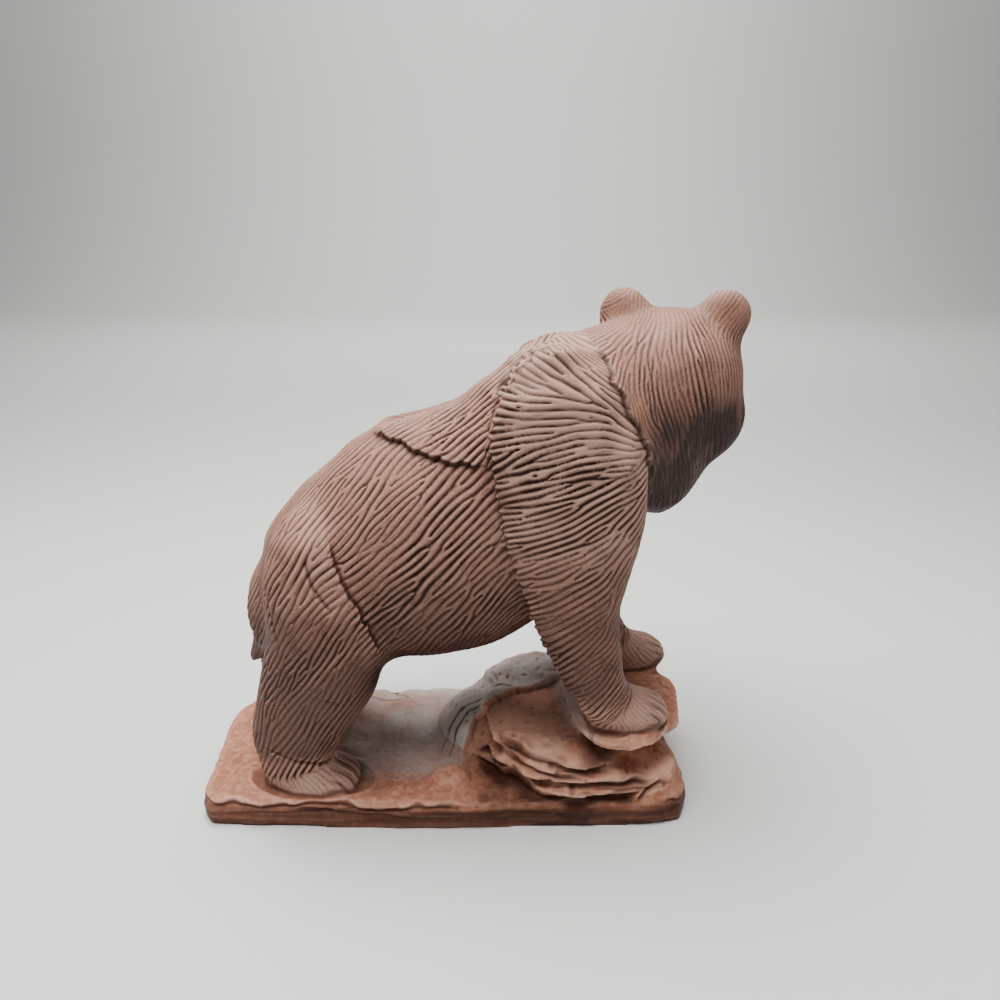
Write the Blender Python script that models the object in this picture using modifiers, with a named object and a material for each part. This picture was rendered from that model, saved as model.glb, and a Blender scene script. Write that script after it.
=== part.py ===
"""Bear standing with its forepaws on a boulder, its head turned away over its left shoulder.

The figure and its rock are one casting, so the model is one solid. Metres, +Z up. The origin is the
middle of the rock's flat underside, +X runs towards the bear's chest and +Y to its left.
"""

import math

import bmesh
import bpy
import numpy as np
from mathutils import Matrix, Vector, noise
from mathutils.bvhtree import BVHTree

# Driving sizes, in metres.
BEAR_LENGTH = 0.250  # tail to cheek
BASE_LENGTH = 0.243
BASE_DEPTH = 0.100
BASE_THICKNESS = 0.014

# The bear's places and girths are shares of its own length, in 250ths.
SHARE = BEAR_LENGTH / 250
LEG_SPREAD = 30.0  # from the middle plane to the middle of a leg
HEAD_MIDDLE = (106, 12, 193)
HEAD_TURN = 72.0  # degrees, from straight ahead to the bear's left
SIDES = 28
RINGS_PER_STATION = 4

# How finely the masses are fused, and what the finished casting keeps.
CLAY_VOXEL = 2.0 * SHARE
SKIN_VOXEL = 1.7 * SHARE
TRIANGLES = 9600

# The slab's hand-cut outline, in shares of its length and depth.
SLAB_OUTLINE = (
    (-0.490, -0.41),
    (-0.465, -0.49),
    (-0.290, -0.50),
    (-0.095, -0.52),
    (0.110, -0.51),
    (0.390, -0.49),
    (0.470, -0.46),
    (0.490, -0.36),
    (0.480, -0.05),
    (0.485, 0.30),
    (0.460, 0.45),
    (0.250, 0.48),
    (0.050, 0.46),
    (-0.135, 0.48),
    (-0.210, 0.46),
    (-0.465, 0.39),
    (-0.500, 0.30),
    (-0.510, 0.12),
    (-0.495, -0.18),
)

RESIN_BROWN = (0.235, 0.125, 0.092, 1.0)


# Rump, barrel, hump and neck: (x, y, z, half height, half width), from tail to nape.
TORSO = (
    (-84, 0, 78, 12, 21),
    (-72, 0, 91, 25, 33),
    (-54, 0, 102.5, 41, 40),
    (-24, 0, 111.5, 57, 42.5),
    (9, 0, 122.5, 60, 42.5),
    (38, 0, 143.5, 52.5, 40),
    (62, 0, 168, 46, 35),
    (84, 3, 178.5, 40, 32),
    (98, 8, 186, 37, 30),
)

# Which way the coat lies, seen from the bear's right: (x, z, slope in degrees up from +X).
COAT_LIE = (
    (-80, 108, 60),
    (-62, 88, 52),
    (-62, 58, 57),
    (-72, 28, 60),
    (-40, 140, 40),
    (-20, 120, 42),
    (-30, 85, 48),
    (10, 130, 38),
    (5, 95, 44),
    (0, 165, 40),
    (28, 190, 42),
    (44, 196, -38),
    (36, 172, -14),
    (58, 176, -30),
    (40, 145, 6),
    (70, 146, 6),
    (46, 118, 24),
    (72, 112, 34),
    (58, 86, 38),
    (76, 62, 58),
    (66, 205, 48),
    (86, 212, 52),
    (88, 185, 72),
    (104, 170, 88),
    (106, 205, 90),
    (126, 178, -76),
    (84, 132, 82),
)

# The locks of fur, set in staggered columns from tail to nape.
LOCK_PITCH = 11.5
LOCK_SIZE = (13.0, 4.5, 1.9)  # half length, half width, height
LOCK_COLUMNS = (-9, 12)  # first column and the one after the last
COLUMN_SPREAD = 0.87  # distance between columns, as a share of the pitch
BACK_ROWS = 7
BACK_RADIUS = 46  # over which the rows above the torso's middle are fanned
LOCK_HEIGHTS = (16, 218)  # the coat's lowest and highest locks
PAW_CORNER = (80, 46)  # no locks ahead of this x below this z
MUZZLE_CORNER = (80, 42)  # no locks ahead of this x beyond this y
LEAST_FACING = 0.45  # cosine between a lock's line and the skin
LOCK_LEAN = 0.10  # how far a lock's tip leans out
LOCK_SINK = 0.3  # share of a lock's height that lies under the skin

# Lines where one part of the coat stands over the next: points (x, z), height of the step, and how
# far the raised fur swells back from it. The raised side is to the left as the line runs.
SHOULDER_LINE = (
    (53, 215),
    (43, 212),
    (35, 204),
    (27, 193),
    (23, 179),
    (25, 160),
    (30, 133),
    (37, 112),
    (43, 93),
    (58, 58),
)
COAT_STEPS = (
    (SHOULDER_LINE, 3.2, 16),
    (((-32, 172), (-17, 171), (-6, 167), (4, 165), (23, 164)), 2.4, 18),
    (((-27, 75), (-30, 86), (-35, 100), (-40, 111), (-45, 123), (-48, 134)), 2.4, 15),
    (((65, 213), (72, 205), (76, 194), (84, 181), (89, 172), (91, 160), (91, 141)), 2.6, 16),
    (((-62, 62), (-50, 57), (-40, 53)), 1.4, 10),
)
STEP_WIDTH = 1.5  # over which a step rises

# The boulder's beds, which lean towards the bear's chest.
BED_PITCH = 7.5
BED_DEPTH = 2.2
BED_DIP = 0.12  # fall of a bed for each share of length
BED_WAVER = (34, 5.0)  # length and height of the beds' waver
GRAIN = (12, 12, 7)  # length, depth and height of the rock's lumps
GRAIN_DEPTH = 0.9


def at(x, y, z):
    """A point of the figure, in shares of its length above the slab's top."""
    return Vector((x * SHARE, y * SHARE, BASE_THICKNESS + z * SHARE))


def clear_scene():
    """Removes what the file starts with."""
    for old in list(bpy.data.objects):
        bpy.data.objects.remove(old)


def blend_of(stations, t):
    """Station values at t, on a smooth curve through all of them."""
    last = len(stations) - 1
    i = min(int(t), last - 1)
    f = t - i
    a, b, c, d = (stations[min(max(k, 0), last)] for k in (i - 1, i, i + 1, i + 2))
    return [
        0.5 * (2 * q + (r - p) * f + (2 * p - 5 * q + 4 * r - s) * f**2 + (3 * q - p - 3 * r + s) * f**3)
        for p, q, r, s in zip(a, b, c, d)
    ]


def bulged(value, fullness):
    """A sine or cosine pushed out towards a box as fullness goes down from 1."""
    return math.copysign(abs(value) ** fullness, value)


def add_limb(clay, stations, side=(0, 1, 0), fullness=1.0):
    """Lofts a closed tube through stations of (x, y, z, half width, half thickness).

    The half width lies across the limb in its own plane, and the half thickness lies along side.
    """
    side = Vector(side).normalized()
    count = (len(stations) - 1) * RINGS_PER_STATION
    rows = [blend_of(stations, i / RINGS_PER_STATION) for i in range(count + 1)]
    middles = [at(*row[:3]) for row in rows]
    rings = []
    for i, row in enumerate(rows):
        along = (middles[min(i + 1, count)] - middles[max(i - 1, 0)]).normalized()
        across = side.cross(along).normalized()
        beside = along.cross(across).normalized()
        ring = []
        for k in range(SIDES):
            turn = math.tau * k / SIDES
            offset = across * row[3] * bulged(math.cos(turn), fullness)
            offset += beside * row[4] * bulged(math.sin(turn), fullness)
            ring.append(clay.verts.new(middles[i] + offset * SHARE))
        rings.append(ring)
    for lower, upper in zip(rings, rings[1:]):
        for k in range(SIDES):
            n = (k + 1) % SIDES
            clay.faces.new((lower[k], lower[n], upper[n], upper[k]))
    clay.faces.new(rings[0][::-1])
    clay.faces.new(rings[-1])


def add_mass(clay, centre, radii, turn_z=0.0, turn_y=0.0):
    """Adds an ellipsoid, turned about Y and then Z, in degrees."""
    place = (
        Matrix.Translation(at(*centre))
        @ Matrix.Rotation(math.radians(turn_z), 4, "Z")
        @ Matrix.Rotation(math.radians(turn_y), 4, "Y")
        @ Matrix.Diagonal((*(r * SHARE for r in radii), 1.0))
    )
    bmesh.ops.create_uvsphere(clay, u_segments=32, v_segments=20, radius=1.0, matrix=place)


def ball_template(segments, rings):
    """A unit ball kept as a mesh, for shapes that are added many times."""
    ball = bmesh.new()
    bmesh.ops.create_uvsphere(ball, u_segments=segments, v_segments=rings, radius=1.0)
    mesh = bpy.data.meshes.new("ball")
    ball.to_mesh(mesh)
    ball.free()
    return mesh


def add_torso(clay):
    """Rump, barrel, hump and neck, with haunches, groin and breast."""
    add_limb(clay, TORSO)
    add_mass(clay, (-75, 0, 82), (22, 30, 32))
    add_mass(clay, (-31, 4, 67.5), (19, 26, 15.5))
    add_mass(clay, (68, 0, 122), (18, 30, 34), turn_y=-20)


def add_tail(clay):
    """A short tail that hangs against the rump and turns out at its tip."""
    add_limb(
        clay,
        [
            (-78, 0, 100, 6, 8),
            (-86, 0, 86, 8, 10),
            (-90, 0, 68, 8, 9),
            (-95, 0, 57, 7, 7),
            (-104, 0, 45, 3, 3.5),
        ],
    )


def add_foreleg(clay, sign, shift, top):
    """Shoulder, foreleg and wrist; sign is -1 for the right leg, and shift moves the paw forward."""
    y = sign * LEG_SPREAD
    add_limb(
        clay,
        [
            (53, y * 0.55, top, 9, 9),
            (52.5, y * 0.80, top - 8, 19, 13),
            (53, y * 0.98, top - 20, 27.5, 16),
            (54, y * 1.05, top - 36, 31.5, 18),
            (57.5, y * 1.08, 161, 32.5, 18.5),
            (60, y * 1.10, 139, 31, 19),
            (60.5, y * 1.10, 117, 25.5, 18),
            (62, y * 1.06, 96, 20, 16),
            (66.5 + shift * 0.4, y * 1.02, 76, 16.5, 14),
            (72.5 + shift * 0.7, y, 58, 13.5, 13),
            (78.5 + shift, y * 0.95, 45, 12, 13),
            (83 + shift, y * 0.90, 38, 11, 12),
        ],
        fullness=0.82,
    )
    add_mass(clay, (70, sign * 20, 140), (15, 17, 25))


def add_paw(clay, middle, half_length, half_width, turn=0.0):
    """A broad flat paw with its toes in a shallow arc."""
    turned = Matrix.Rotation(math.radians(turn), 3, "Z")
    x, y, z = middle
    add_mass(clay, (x, y, z), (half_length, half_width, 9), turn_z=turn)
    for k in range(5):
        across = (k - 2) / 2
        reach = half_length * (0.80 - 0.18 * across**2)
        toe = turned @ Vector((reach, across * half_width * 0.80, -1.5))
        add_mass(clay, (x + toe.x, y + toe.y, z + toe.z), (7.5, half_width * 0.25, 6), turn_z=turn)


def add_hind_leg(clay, sign, shift):
    """Thigh, shin and heel; shift moves the leg along the body."""
    y = sign * LEG_SPREAD
    add_limb(
        clay,
        [
            (-55, y * 0.55, 134, 11, 12),
            (-57, y * 0.85, 122, 20, 17),
            (-56.5 + shift * 0.2, y * 0.96, 104, 25, 20),
            (-54 + shift * 0.5, y * 1.0, 84, 26.5, 20.5),
            (-56.5 + shift * 0.8, y * 1.02, 64, 28, 18.5),
            (-64.5 + shift, y * 1.02, 47, 25.5, 16),
            (-71.5 + shift, y * 1.02, 29, 22, 14),
            (-76 + shift, y * 1.02, 13, 16.5, 13.5),
            (-77 + shift, y * 1.02, 4, 16, 13.5),
        ],
        fullness=0.9,
    )


def head_point(ahead, beside, up):
    """A place on the head, measured along its own turned axes."""
    turn = math.radians(HEAD_TURN)
    x, y, z = HEAD_MIDDLE
    return (
        x + ahead * math.cos(turn) - beside * math.sin(turn),
        y + ahead * math.sin(turn) + beside * math.cos(turn),
        z + up,
    )


def add_head(clay):
    """Skull, ruff, ears and muzzle."""
    add_mass(clay, head_point(0, 0, 0), (36, 34, 32), turn_z=HEAD_TURN)
    add_mass(clay, head_point(-2, 7, -25), (31, 30, 42), turn_z=HEAD_TURN)
    add_mass(clay, head_point(2, 1, -17), (27, 38, 29), turn_z=HEAD_TURN)
    add_mass(clay, head_point(8, 0, -14), (30, 33, 24), turn_z=HEAD_TURN)
    add_mass(clay, head_point(34, 0, -11), (26, 16, 13), turn_z=HEAD_TURN, turn_y=8)
    add_mass(clay, head_point(32, 0, -20), (22, 15.5, 10), turn_z=HEAD_TURN, turn_y=4)
    add_mass(clay, head_point(56, 0, -12), (6.5, 9, 6.5), turn_z=HEAD_TURN)
    for sign in (-1, 1):
        add_mass(clay, head_point(26, sign * 13, 6), (11, 10, 8), turn_z=HEAD_TURN, turn_y=25)
        add_mass(clay, head_point(22, sign * 22, -14), (14, 12, 16), turn_z=HEAD_TURN - sign * 25)
        ear = head_point(0, sign * 22.5, 28)
        add_mass(clay, ear, (7, 13.5, 14), turn_z=HEAD_TURN - sign * 14)


def lie_of_coat(x, z):
    """The coat's slope at a place seen from the side, in radians, mixed from the nearest lies."""
    cosine = sine = 0.0
    for near_x, near_z, slope in COAT_LIE:
        weight = 1 / (((x - near_x) ** 2 + (z - near_z) ** 2) ** 2 + 1)
        cosine += weight * math.cos(2 * math.radians(slope))
        sine += weight * math.sin(2 * math.radians(slope))
    return math.atan2(sine, cosine) / 2


def middle_height(x):
    """Height of the torso's middle line at x."""
    for start, end in zip(TORSO, TORSO[1:]):
        if x <= end[0]:
            break
    share = min(max((x - start[0]) / (end[0] - start[0]), 0), 1)
    return start[2] + (end[2] - start[2]) * share


def coat_rays():
    """Lines that meet the coat at even steps: level below the torso's middle, fanned above."""
    across = Vector((0, 1, 0))
    for column in range(*LOCK_COLUMNS):
        x = column * LOCK_PITCH * COLUMN_SPREAD
        offset = LOCK_PITCH / 2 * (column % 2)
        waist = middle_height(x)
        for sign in (-1, 1):
            rows = int((waist - offset) / LOCK_PITCH)
            for row in range(1, rows + 1):
                yield at(x, 0, waist + offset - row * LOCK_PITCH), across * sign
            for row in range(BACK_ROWS):
                turn = (row * LOCK_PITCH + offset) / BACK_RADIUS
                if turn < math.pi / 2:
                    yield at(x, 0, waist), Vector((0, sign * math.cos(turn), math.sin(turn)))


def add_lock(clay, ball, skin, middle, outward, size):
    """Adds a lock of fur, its tip proud, where a line from the middle outward leaves the skin."""
    point, normal, _, _ = skin.ray_cast(middle + outward * BEAR_LENGTH, -outward)
    if point is None:
        return
    x, y, z = point.x / SHARE, point.y / SHARE, (point.z - BASE_THICKNESS) / SHARE
    on_paw = x > PAW_CORNER[0] and z < PAW_CORNER[1]
    on_muzzle = x > MUZZLE_CORNER[0] and y > MUZZLE_CORNER[1]
    outside = not LOCK_HEIGHTS[0] <= z <= LOCK_HEIGHTS[1]
    if on_paw or on_muzzle or outside or normal.dot(outward) < LEAST_FACING:
        return
    slope = lie_of_coat(x, z)
    along = Vector((math.cos(slope), 0, math.sin(slope)))
    along = (along - normal * along.dot(normal)).normalized()
    raised = (normal + along * LOCK_LEAN).normalized()
    across = raised.cross(along).normalized()
    along = across.cross(raised)
    turned = Matrix((along, across, raised)).transposed().to_4x4()
    shape = Matrix.Diagonal((*(part * SHARE for part in size), 1.0))
    sunk = Matrix.Translation(point - normal * size[2] * SHARE * LOCK_SINK)
    lock = ball.copy()
    lock.transform(sunk @ turned @ shape)
    clay.from_mesh(lock)
    bpy.data.meshes.remove(lock)


def add_coat(clay, skin):
    """Covers the bear in overlapping locks of fur."""
    length, width, height = LOCK_SIZE
    ball = ball_template(16, 8)
    for count, (middle, outward) in enumerate(coat_rays()):
        longer = 1.0 + 0.2 * math.sin(2.4 * count)
        add_lock(clay, ball, skin, middle, outward, (length * longer, width, height))


def distance_left(places, line):
    """Distance of each (x, z) place from a line of points, negative on the line's right."""
    nearest = np.full(len(places), np.inf)
    left = np.zeros(len(places))
    for start, end in zip(line, line[1:]):
        start, end = np.array(start, float), np.array(end, float)
        run = end - start
        share = np.clip((places - start) @ run / (run @ run), 0, 1)
        gap = places - (start + share[:, None] * run)
        distance = np.linalg.norm(gap, axis=1)
        side = np.sign(run[0] * gap[:, 1] - run[1] * gap[:, 0])
        closer = distance < nearest
        nearest = np.where(closer, distance, nearest)
        left = np.where(closer, distance * side, left)
    return left


def beyond_ends(places, line, reach):
    """How far each place lies past the line's ends, as a fade from 1 beside it to 0."""
    fade = np.ones(len(places))
    for end, inner in ((line[0], line[1]), (line[-1], line[-2])):
        out = np.array(end, float) - np.array(inner, float)
        past = (places - np.array(end, float)) @ (out / np.linalg.norm(out))
        near = np.linalg.norm(places - np.array(end, float), axis=1) < 3 * reach
        fade = np.where(near, fade * np.clip(1 - 2 * past / reach, 0, 1), fade)
    return fade


def read_skin(mesh):
    """The mesh's points and normals as arrays."""
    points = np.empty(len(mesh.vertices) * 3, np.float32)
    normals = np.empty(len(mesh.vertices) * 3, np.float32)
    mesh.vertices.foreach_get("co", points)
    mesh.vertex_normals.foreach_get("vector", normals)
    return points.reshape(-1, 3).astype(float), normals.reshape(-1, 3).astype(float)


def step_coat(mesh):
    """Raises the coat along the left of each step line, on both of the bear's sides."""
    points, normals = read_skin(mesh)
    places = np.stack([points[:, 0], points[:, 2] - BASE_THICKNESS], 1) / SHARE
    outer = np.clip(normals[:, 1] * np.sign(points[:, 1]) * 3, 0, 1)
    for line, height, reach in COAT_STEPS:
        left = distance_left(places, line)
        rise = np.clip(left / STEP_WIDTH + 0.5, 0, 1) * np.exp(-np.clip(left, 0, None) / reach)
        rise *= outer * beyond_ends(places, line, reach)
        points += normals * (rise * height * SHARE)[:, None]
    mesh.vertices.foreach_set("co", points.astype(np.float32).ravel())
    mesh.update()


def weather_rock(mesh):
    """Cuts ledges between the boulder's beds and roughens its faces."""
    points, normals = read_skin(mesh)
    length, height = BED_WAVER
    for i, (point, normal) in enumerate(zip(points, normals)):
        x, y, z = point / SHARE
        drift = noise.noise(Vector((x / length, y / length, 3.0)))
        level = (z + BED_DIP * x + height * drift) / BED_PITCH
        ledge = level - math.floor(level) - 0.5
        upright = 1 - abs(normal[2])
        rough = noise.fractal(Vector((x / GRAIN[0], y / GRAIN[1], z / GRAIN[2])), 1.0, 2.0, 3)
        above = min(max(z / 4, 0), 1)
        points[i] += normal * SHARE * above * (BED_DEPTH * ledge * upright + GRAIN_DEPTH * rough)
    mesh.vertices.foreach_set("co", points.astype(np.float32).ravel())
    mesh.update()


def make_object(name, clay):
    """A new object that holds the bmesh clay."""
    bmesh.ops.recalc_face_normals(clay, faces=clay.faces)
    mesh = bpy.data.meshes.new(name)
    clay.to_mesh(mesh)
    clay.free()
    made = bpy.data.objects.new(name, mesh)
    bpy.context.scene.collection.objects.link(made)
    return made


def evaluated_mesh(made):
    """The object's mesh with its modifiers applied."""
    bpy.context.view_layer.update()
    graph = bpy.context.evaluated_depsgraph_get()
    return bpy.data.meshes.new_from_object(made.evaluated_get(graph), depsgraph=graph)


def fuse(made, voxel, smooth_factor=0.0, smooth_repeat=0):
    """Fuses an object's overlapping masses into one skin and smooths it."""
    remesh = made.modifiers.new("one skin", "REMESH")
    remesh.mode = "VOXEL"
    remesh.voxel_size = voxel
    if smooth_repeat:
        smooth = made.modifiers.new("soften", "SMOOTH")
        smooth.factor = smooth_factor
        smooth.iterations = smooth_repeat
    mesh = evaluated_mesh(made)
    made.modifiers.clear()
    made.data = mesh
    return made


def make_bear():
    """The figure, without its rock."""
    clay = bmesh.new()
    add_torso(clay)
    add_tail(clay)
    add_head(clay)
    add_foreleg(clay, -1, 0, 208)
    add_paw(clay, (90, -LEG_SPREAD + 3, 39), 16, 14, turn=-8)
    add_foreleg(clay, 1, 8, 196)
    add_paw(clay, (100, LEG_SPREAD - 2, 38), 16, 14, turn=6)
    add_hind_leg(clay, -1, 0)
    add_paw(clay, (-66, -LEG_SPREAD - 2, 4), 21, 14, turn=-4)
    add_hind_leg(clay, 1, -16)
    add_paw(clay, (-82, LEG_SPREAD + 2, 4), 21, 14, turn=4)
    bear = fuse(make_object("bear clay", clay), CLAY_VOXEL, smooth_factor=0.5, smooth_repeat=10)
    coat = bmesh.new()
    coat.from_mesh(bear.data)
    add_coat(coat, BVHTree.FromBMesh(coat))
    coat.to_mesh(bear.data)
    coat.free()
    fuse(bear, SKIN_VOXEL, smooth_factor=0.5, smooth_repeat=1)
    step_coat(bear.data)
    return bear


def add_slab(clay):
    """The rock's flat base, which reaches below the floor until it is cut flat."""
    bottom = -BASE_THICKNESS
    rim = [clay.verts.new((x * BASE_LENGTH, y * BASE_DEPTH, bottom)) for x, y in SLAB_OUTLINE]
    floor = clay.faces.new(rim)
    raised = bmesh.ops.extrude_face_region(clay, geom=[floor])
    top = [v for v in raised["geom"] if isinstance(v, bmesh.types.BMVert)]
    bmesh.ops.translate(clay, verts=top, vec=(0, 0, BASE_THICKNESS - bottom))
    lip = [e for e in raised["geom"] if isinstance(e, bmesh.types.BMEdge)]
    width = BASE_THICKNESS * 0.2
    bmesh.ops.bevel(clay, geom=lip, offset=width, segments=2, profile=0.5, affect="EDGES")


def add_bed(clay, centre, radii, turn_z=0.0, tilt_x=0.0, tilt_y=0.0, wobble=0.07):
    """Adds one bed of rock: a blunt-edged plate with a wavering outline."""
    made = bmesh.ops.create_uvsphere(clay, u_segments=48, v_segments=16, radius=1.0)
    for vert in made["verts"]:
        x, y, z = vert.co
        waver = 1 + wobble * noise.noise(Vector((x * 2.2, y * 2.2, centre[0] + centre[2])))
        flat = math.hypot(x, y)
        blunt = flat**0.45 / flat if flat > 0 else 1
        vert.co = Vector((x * blunt * waver, y * blunt * waver, z))
    place = (
        Matrix.Translation(at(*centre))
        @ Matrix.Rotation(math.radians(turn_z), 4, "Z")
        @ Matrix.Rotation(math.radians(tilt_x), 4, "X")
        @ Matrix.Rotation(math.radians(tilt_y), 4, "Y")
        @ Matrix.Diagonal((*(r * SHARE for r in radii), 1.0))
    )
    bmesh.ops.transform(clay, matrix=place, verts=made["verts"])


def add_boulder(clay):
    """The mound under the forepaws: a core, its slanting beds and the ledge on top."""
    add_bed(clay, (64, 1, 8), (42, 38, 15))
    add_mass(clay, (58, 27, 8), (46, 18, 27))
    add_mass(clay, (30, 8, 0), (38, 33, 21))
    add_bed(clay, (88.5, -1, 27), (32, 44.5, 5), turn_z=4, tilt_x=-2)
    add_bed(clay, (54, -9, 18.5), (38, 38, 4.2), turn_z=-6, tilt_x=2, tilt_y=8)
    add_bed(clay, (63, -4, 10), (49, 45, 3.4), turn_z=3, tilt_x=1, tilt_y=3)
    add_bed(clay, (68, -3, 3), (48, 47, 2.6), turn_z=-2, tilt_y=-1)
    add_bed(clay, (98, -21, 2), (19, 24, 8), turn_z=10, tilt_y=3)
    add_bed(clay, (2, -36, 2), (9, 8, 5.5), turn_z=20)


def make_rock():
    """The slab and boulder."""
    clay = bmesh.new()
    add_slab(clay)
    add_boulder(clay)
    rock = fuse(make_object("rock clay", clay), SKIN_VOXEL, smooth_factor=0.5, smooth_repeat=2)
    weather_rock(rock.data)
    return rock


def cast_in_one(bear, rock):
    """Joins bear and rock in one skin, thins its facets and cuts the underside flat."""
    both = bmesh.new()
    both.from_mesh(bear.data)
    both.from_mesh(rock.data)
    casting = make_object("bear_on_rock", both)
    for used in (bear, rock):
        bpy.data.objects.remove(used)
    fuse(casting, SKIN_VOXEL)
    thin = casting.modifiers.new("fewer facets", "DECIMATE")
    thin.use_collapse_triangulate = True
    triangles = sum(len(face.vertices) - 2 for face in casting.data.polygons)
    thin.ratio = TRIANGLES / triangles
    casting.data = evaluated_mesh(casting)
    casting.modifiers.clear()
    cut = bmesh.new()
    cut.from_mesh(casting.data)
    everything = cut.verts[:] + cut.edges[:] + cut.faces[:]
    bmesh.ops.bisect_plane(cut, geom=everything, plane_co=(0, 0, 0), plane_no=(0, 0, -1), clear_outer=True)
    rim = [e for e in cut.edges if e.is_boundary]
    bmesh.ops.contextual_create(cut, geom=rim)
    bmesh.ops.triangulate(cut, faces=[f for f in cut.faces if len(f.verts) > 3])
    cut.to_mesh(casting.data)
    cut.free()
    return casting


def dress(casting):
    """Gives the casting its resin and its place in a named collection."""
    resin = bpy.data.materials.new("nut-shell resin")
    resin.use_nodes = True
    shader = resin.node_tree.nodes["Principled BSDF"]
    shader.inputs["Base Color"].default_value = RESIN_BROWN
    shader.inputs["Roughness"].default_value = 0.62
    shader.inputs["Metallic"].default_value = 0.0
    casting.data.materials.clear()
    casting.data.materials.append(resin)
    casting.data.shade_smooth()
    figurine = bpy.data.collections.new("bear figurine")
    bpy.context.scene.collection.children.link(figurine)
    for holder in list(casting.users_collection):
        holder.objects.unlink(casting)
    figurine.objects.link(casting)


def main():
    clear_scene()
    dress(cast_in_one(make_bear(), make_rock()))


main()
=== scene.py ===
"""Looks of the bear figurine: a bear on a rock, one casting in nut-shell filled resin.

The casting's solid is skinned finely, the stepped edges of its coat are cut sharp, and grooves are
gouged along the lie of the fur. The rock gets its beds, chips and tool marks. Lengths are in
millimetres above the slab's top until a piece is made, as in the CAD source.
"""

import logging
import math
from dataclasses import dataclass
from enum import Enum

import bmesh
import bpy
import numpy as np
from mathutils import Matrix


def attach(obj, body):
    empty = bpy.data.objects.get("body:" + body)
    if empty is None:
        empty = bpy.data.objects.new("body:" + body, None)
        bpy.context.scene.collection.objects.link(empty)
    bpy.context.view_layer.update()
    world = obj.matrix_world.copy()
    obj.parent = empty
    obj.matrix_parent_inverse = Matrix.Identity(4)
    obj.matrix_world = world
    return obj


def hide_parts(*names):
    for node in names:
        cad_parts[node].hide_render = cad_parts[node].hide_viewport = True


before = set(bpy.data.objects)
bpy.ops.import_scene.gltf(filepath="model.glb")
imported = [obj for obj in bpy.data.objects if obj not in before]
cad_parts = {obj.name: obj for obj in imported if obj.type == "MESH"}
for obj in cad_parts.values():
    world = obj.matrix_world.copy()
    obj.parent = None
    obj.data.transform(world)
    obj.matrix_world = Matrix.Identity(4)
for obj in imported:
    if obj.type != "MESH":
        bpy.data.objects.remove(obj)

logging.basicConfig(level=logging.INFO, format="%(message)s")
log = logging.getLogger("bear figurine")

Array = np.ndarray
Line = tuple[tuple[float, float], ...]
Rise = tuple[float, float]
Span = tuple[float, float, float, float]

MM = 0.001
NODE = "bear_on_rock"
BASE_THICKNESS = 14.0
HEAD_MIDDLE = (106.0, 12.0, 193.0)
HEAD_TURN = math.radians(72.0)
VIEW_PITCH = math.radians(20.0)


class Zone(Enum):
    """Parts of the coat with a lie of their own."""

    FLANK = 0
    MANTLE = 1
    SHOULDER = 2
    HEAD = 3


class Part(Enum):
    """Pieces that the skin is made in."""

    SLAB = "rock_slab"
    BOULDER = "rock_boulder"
    HIND_LEGS = "bear_hind_legs"
    HINDQUARTERS = "bear_hindquarters"
    BARREL = "bear_barrel"
    FOREQUARTERS = "bear_forequarters"
    FORELEGS = "bear_forelegs"
    HEAD = "bear_head"


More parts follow.
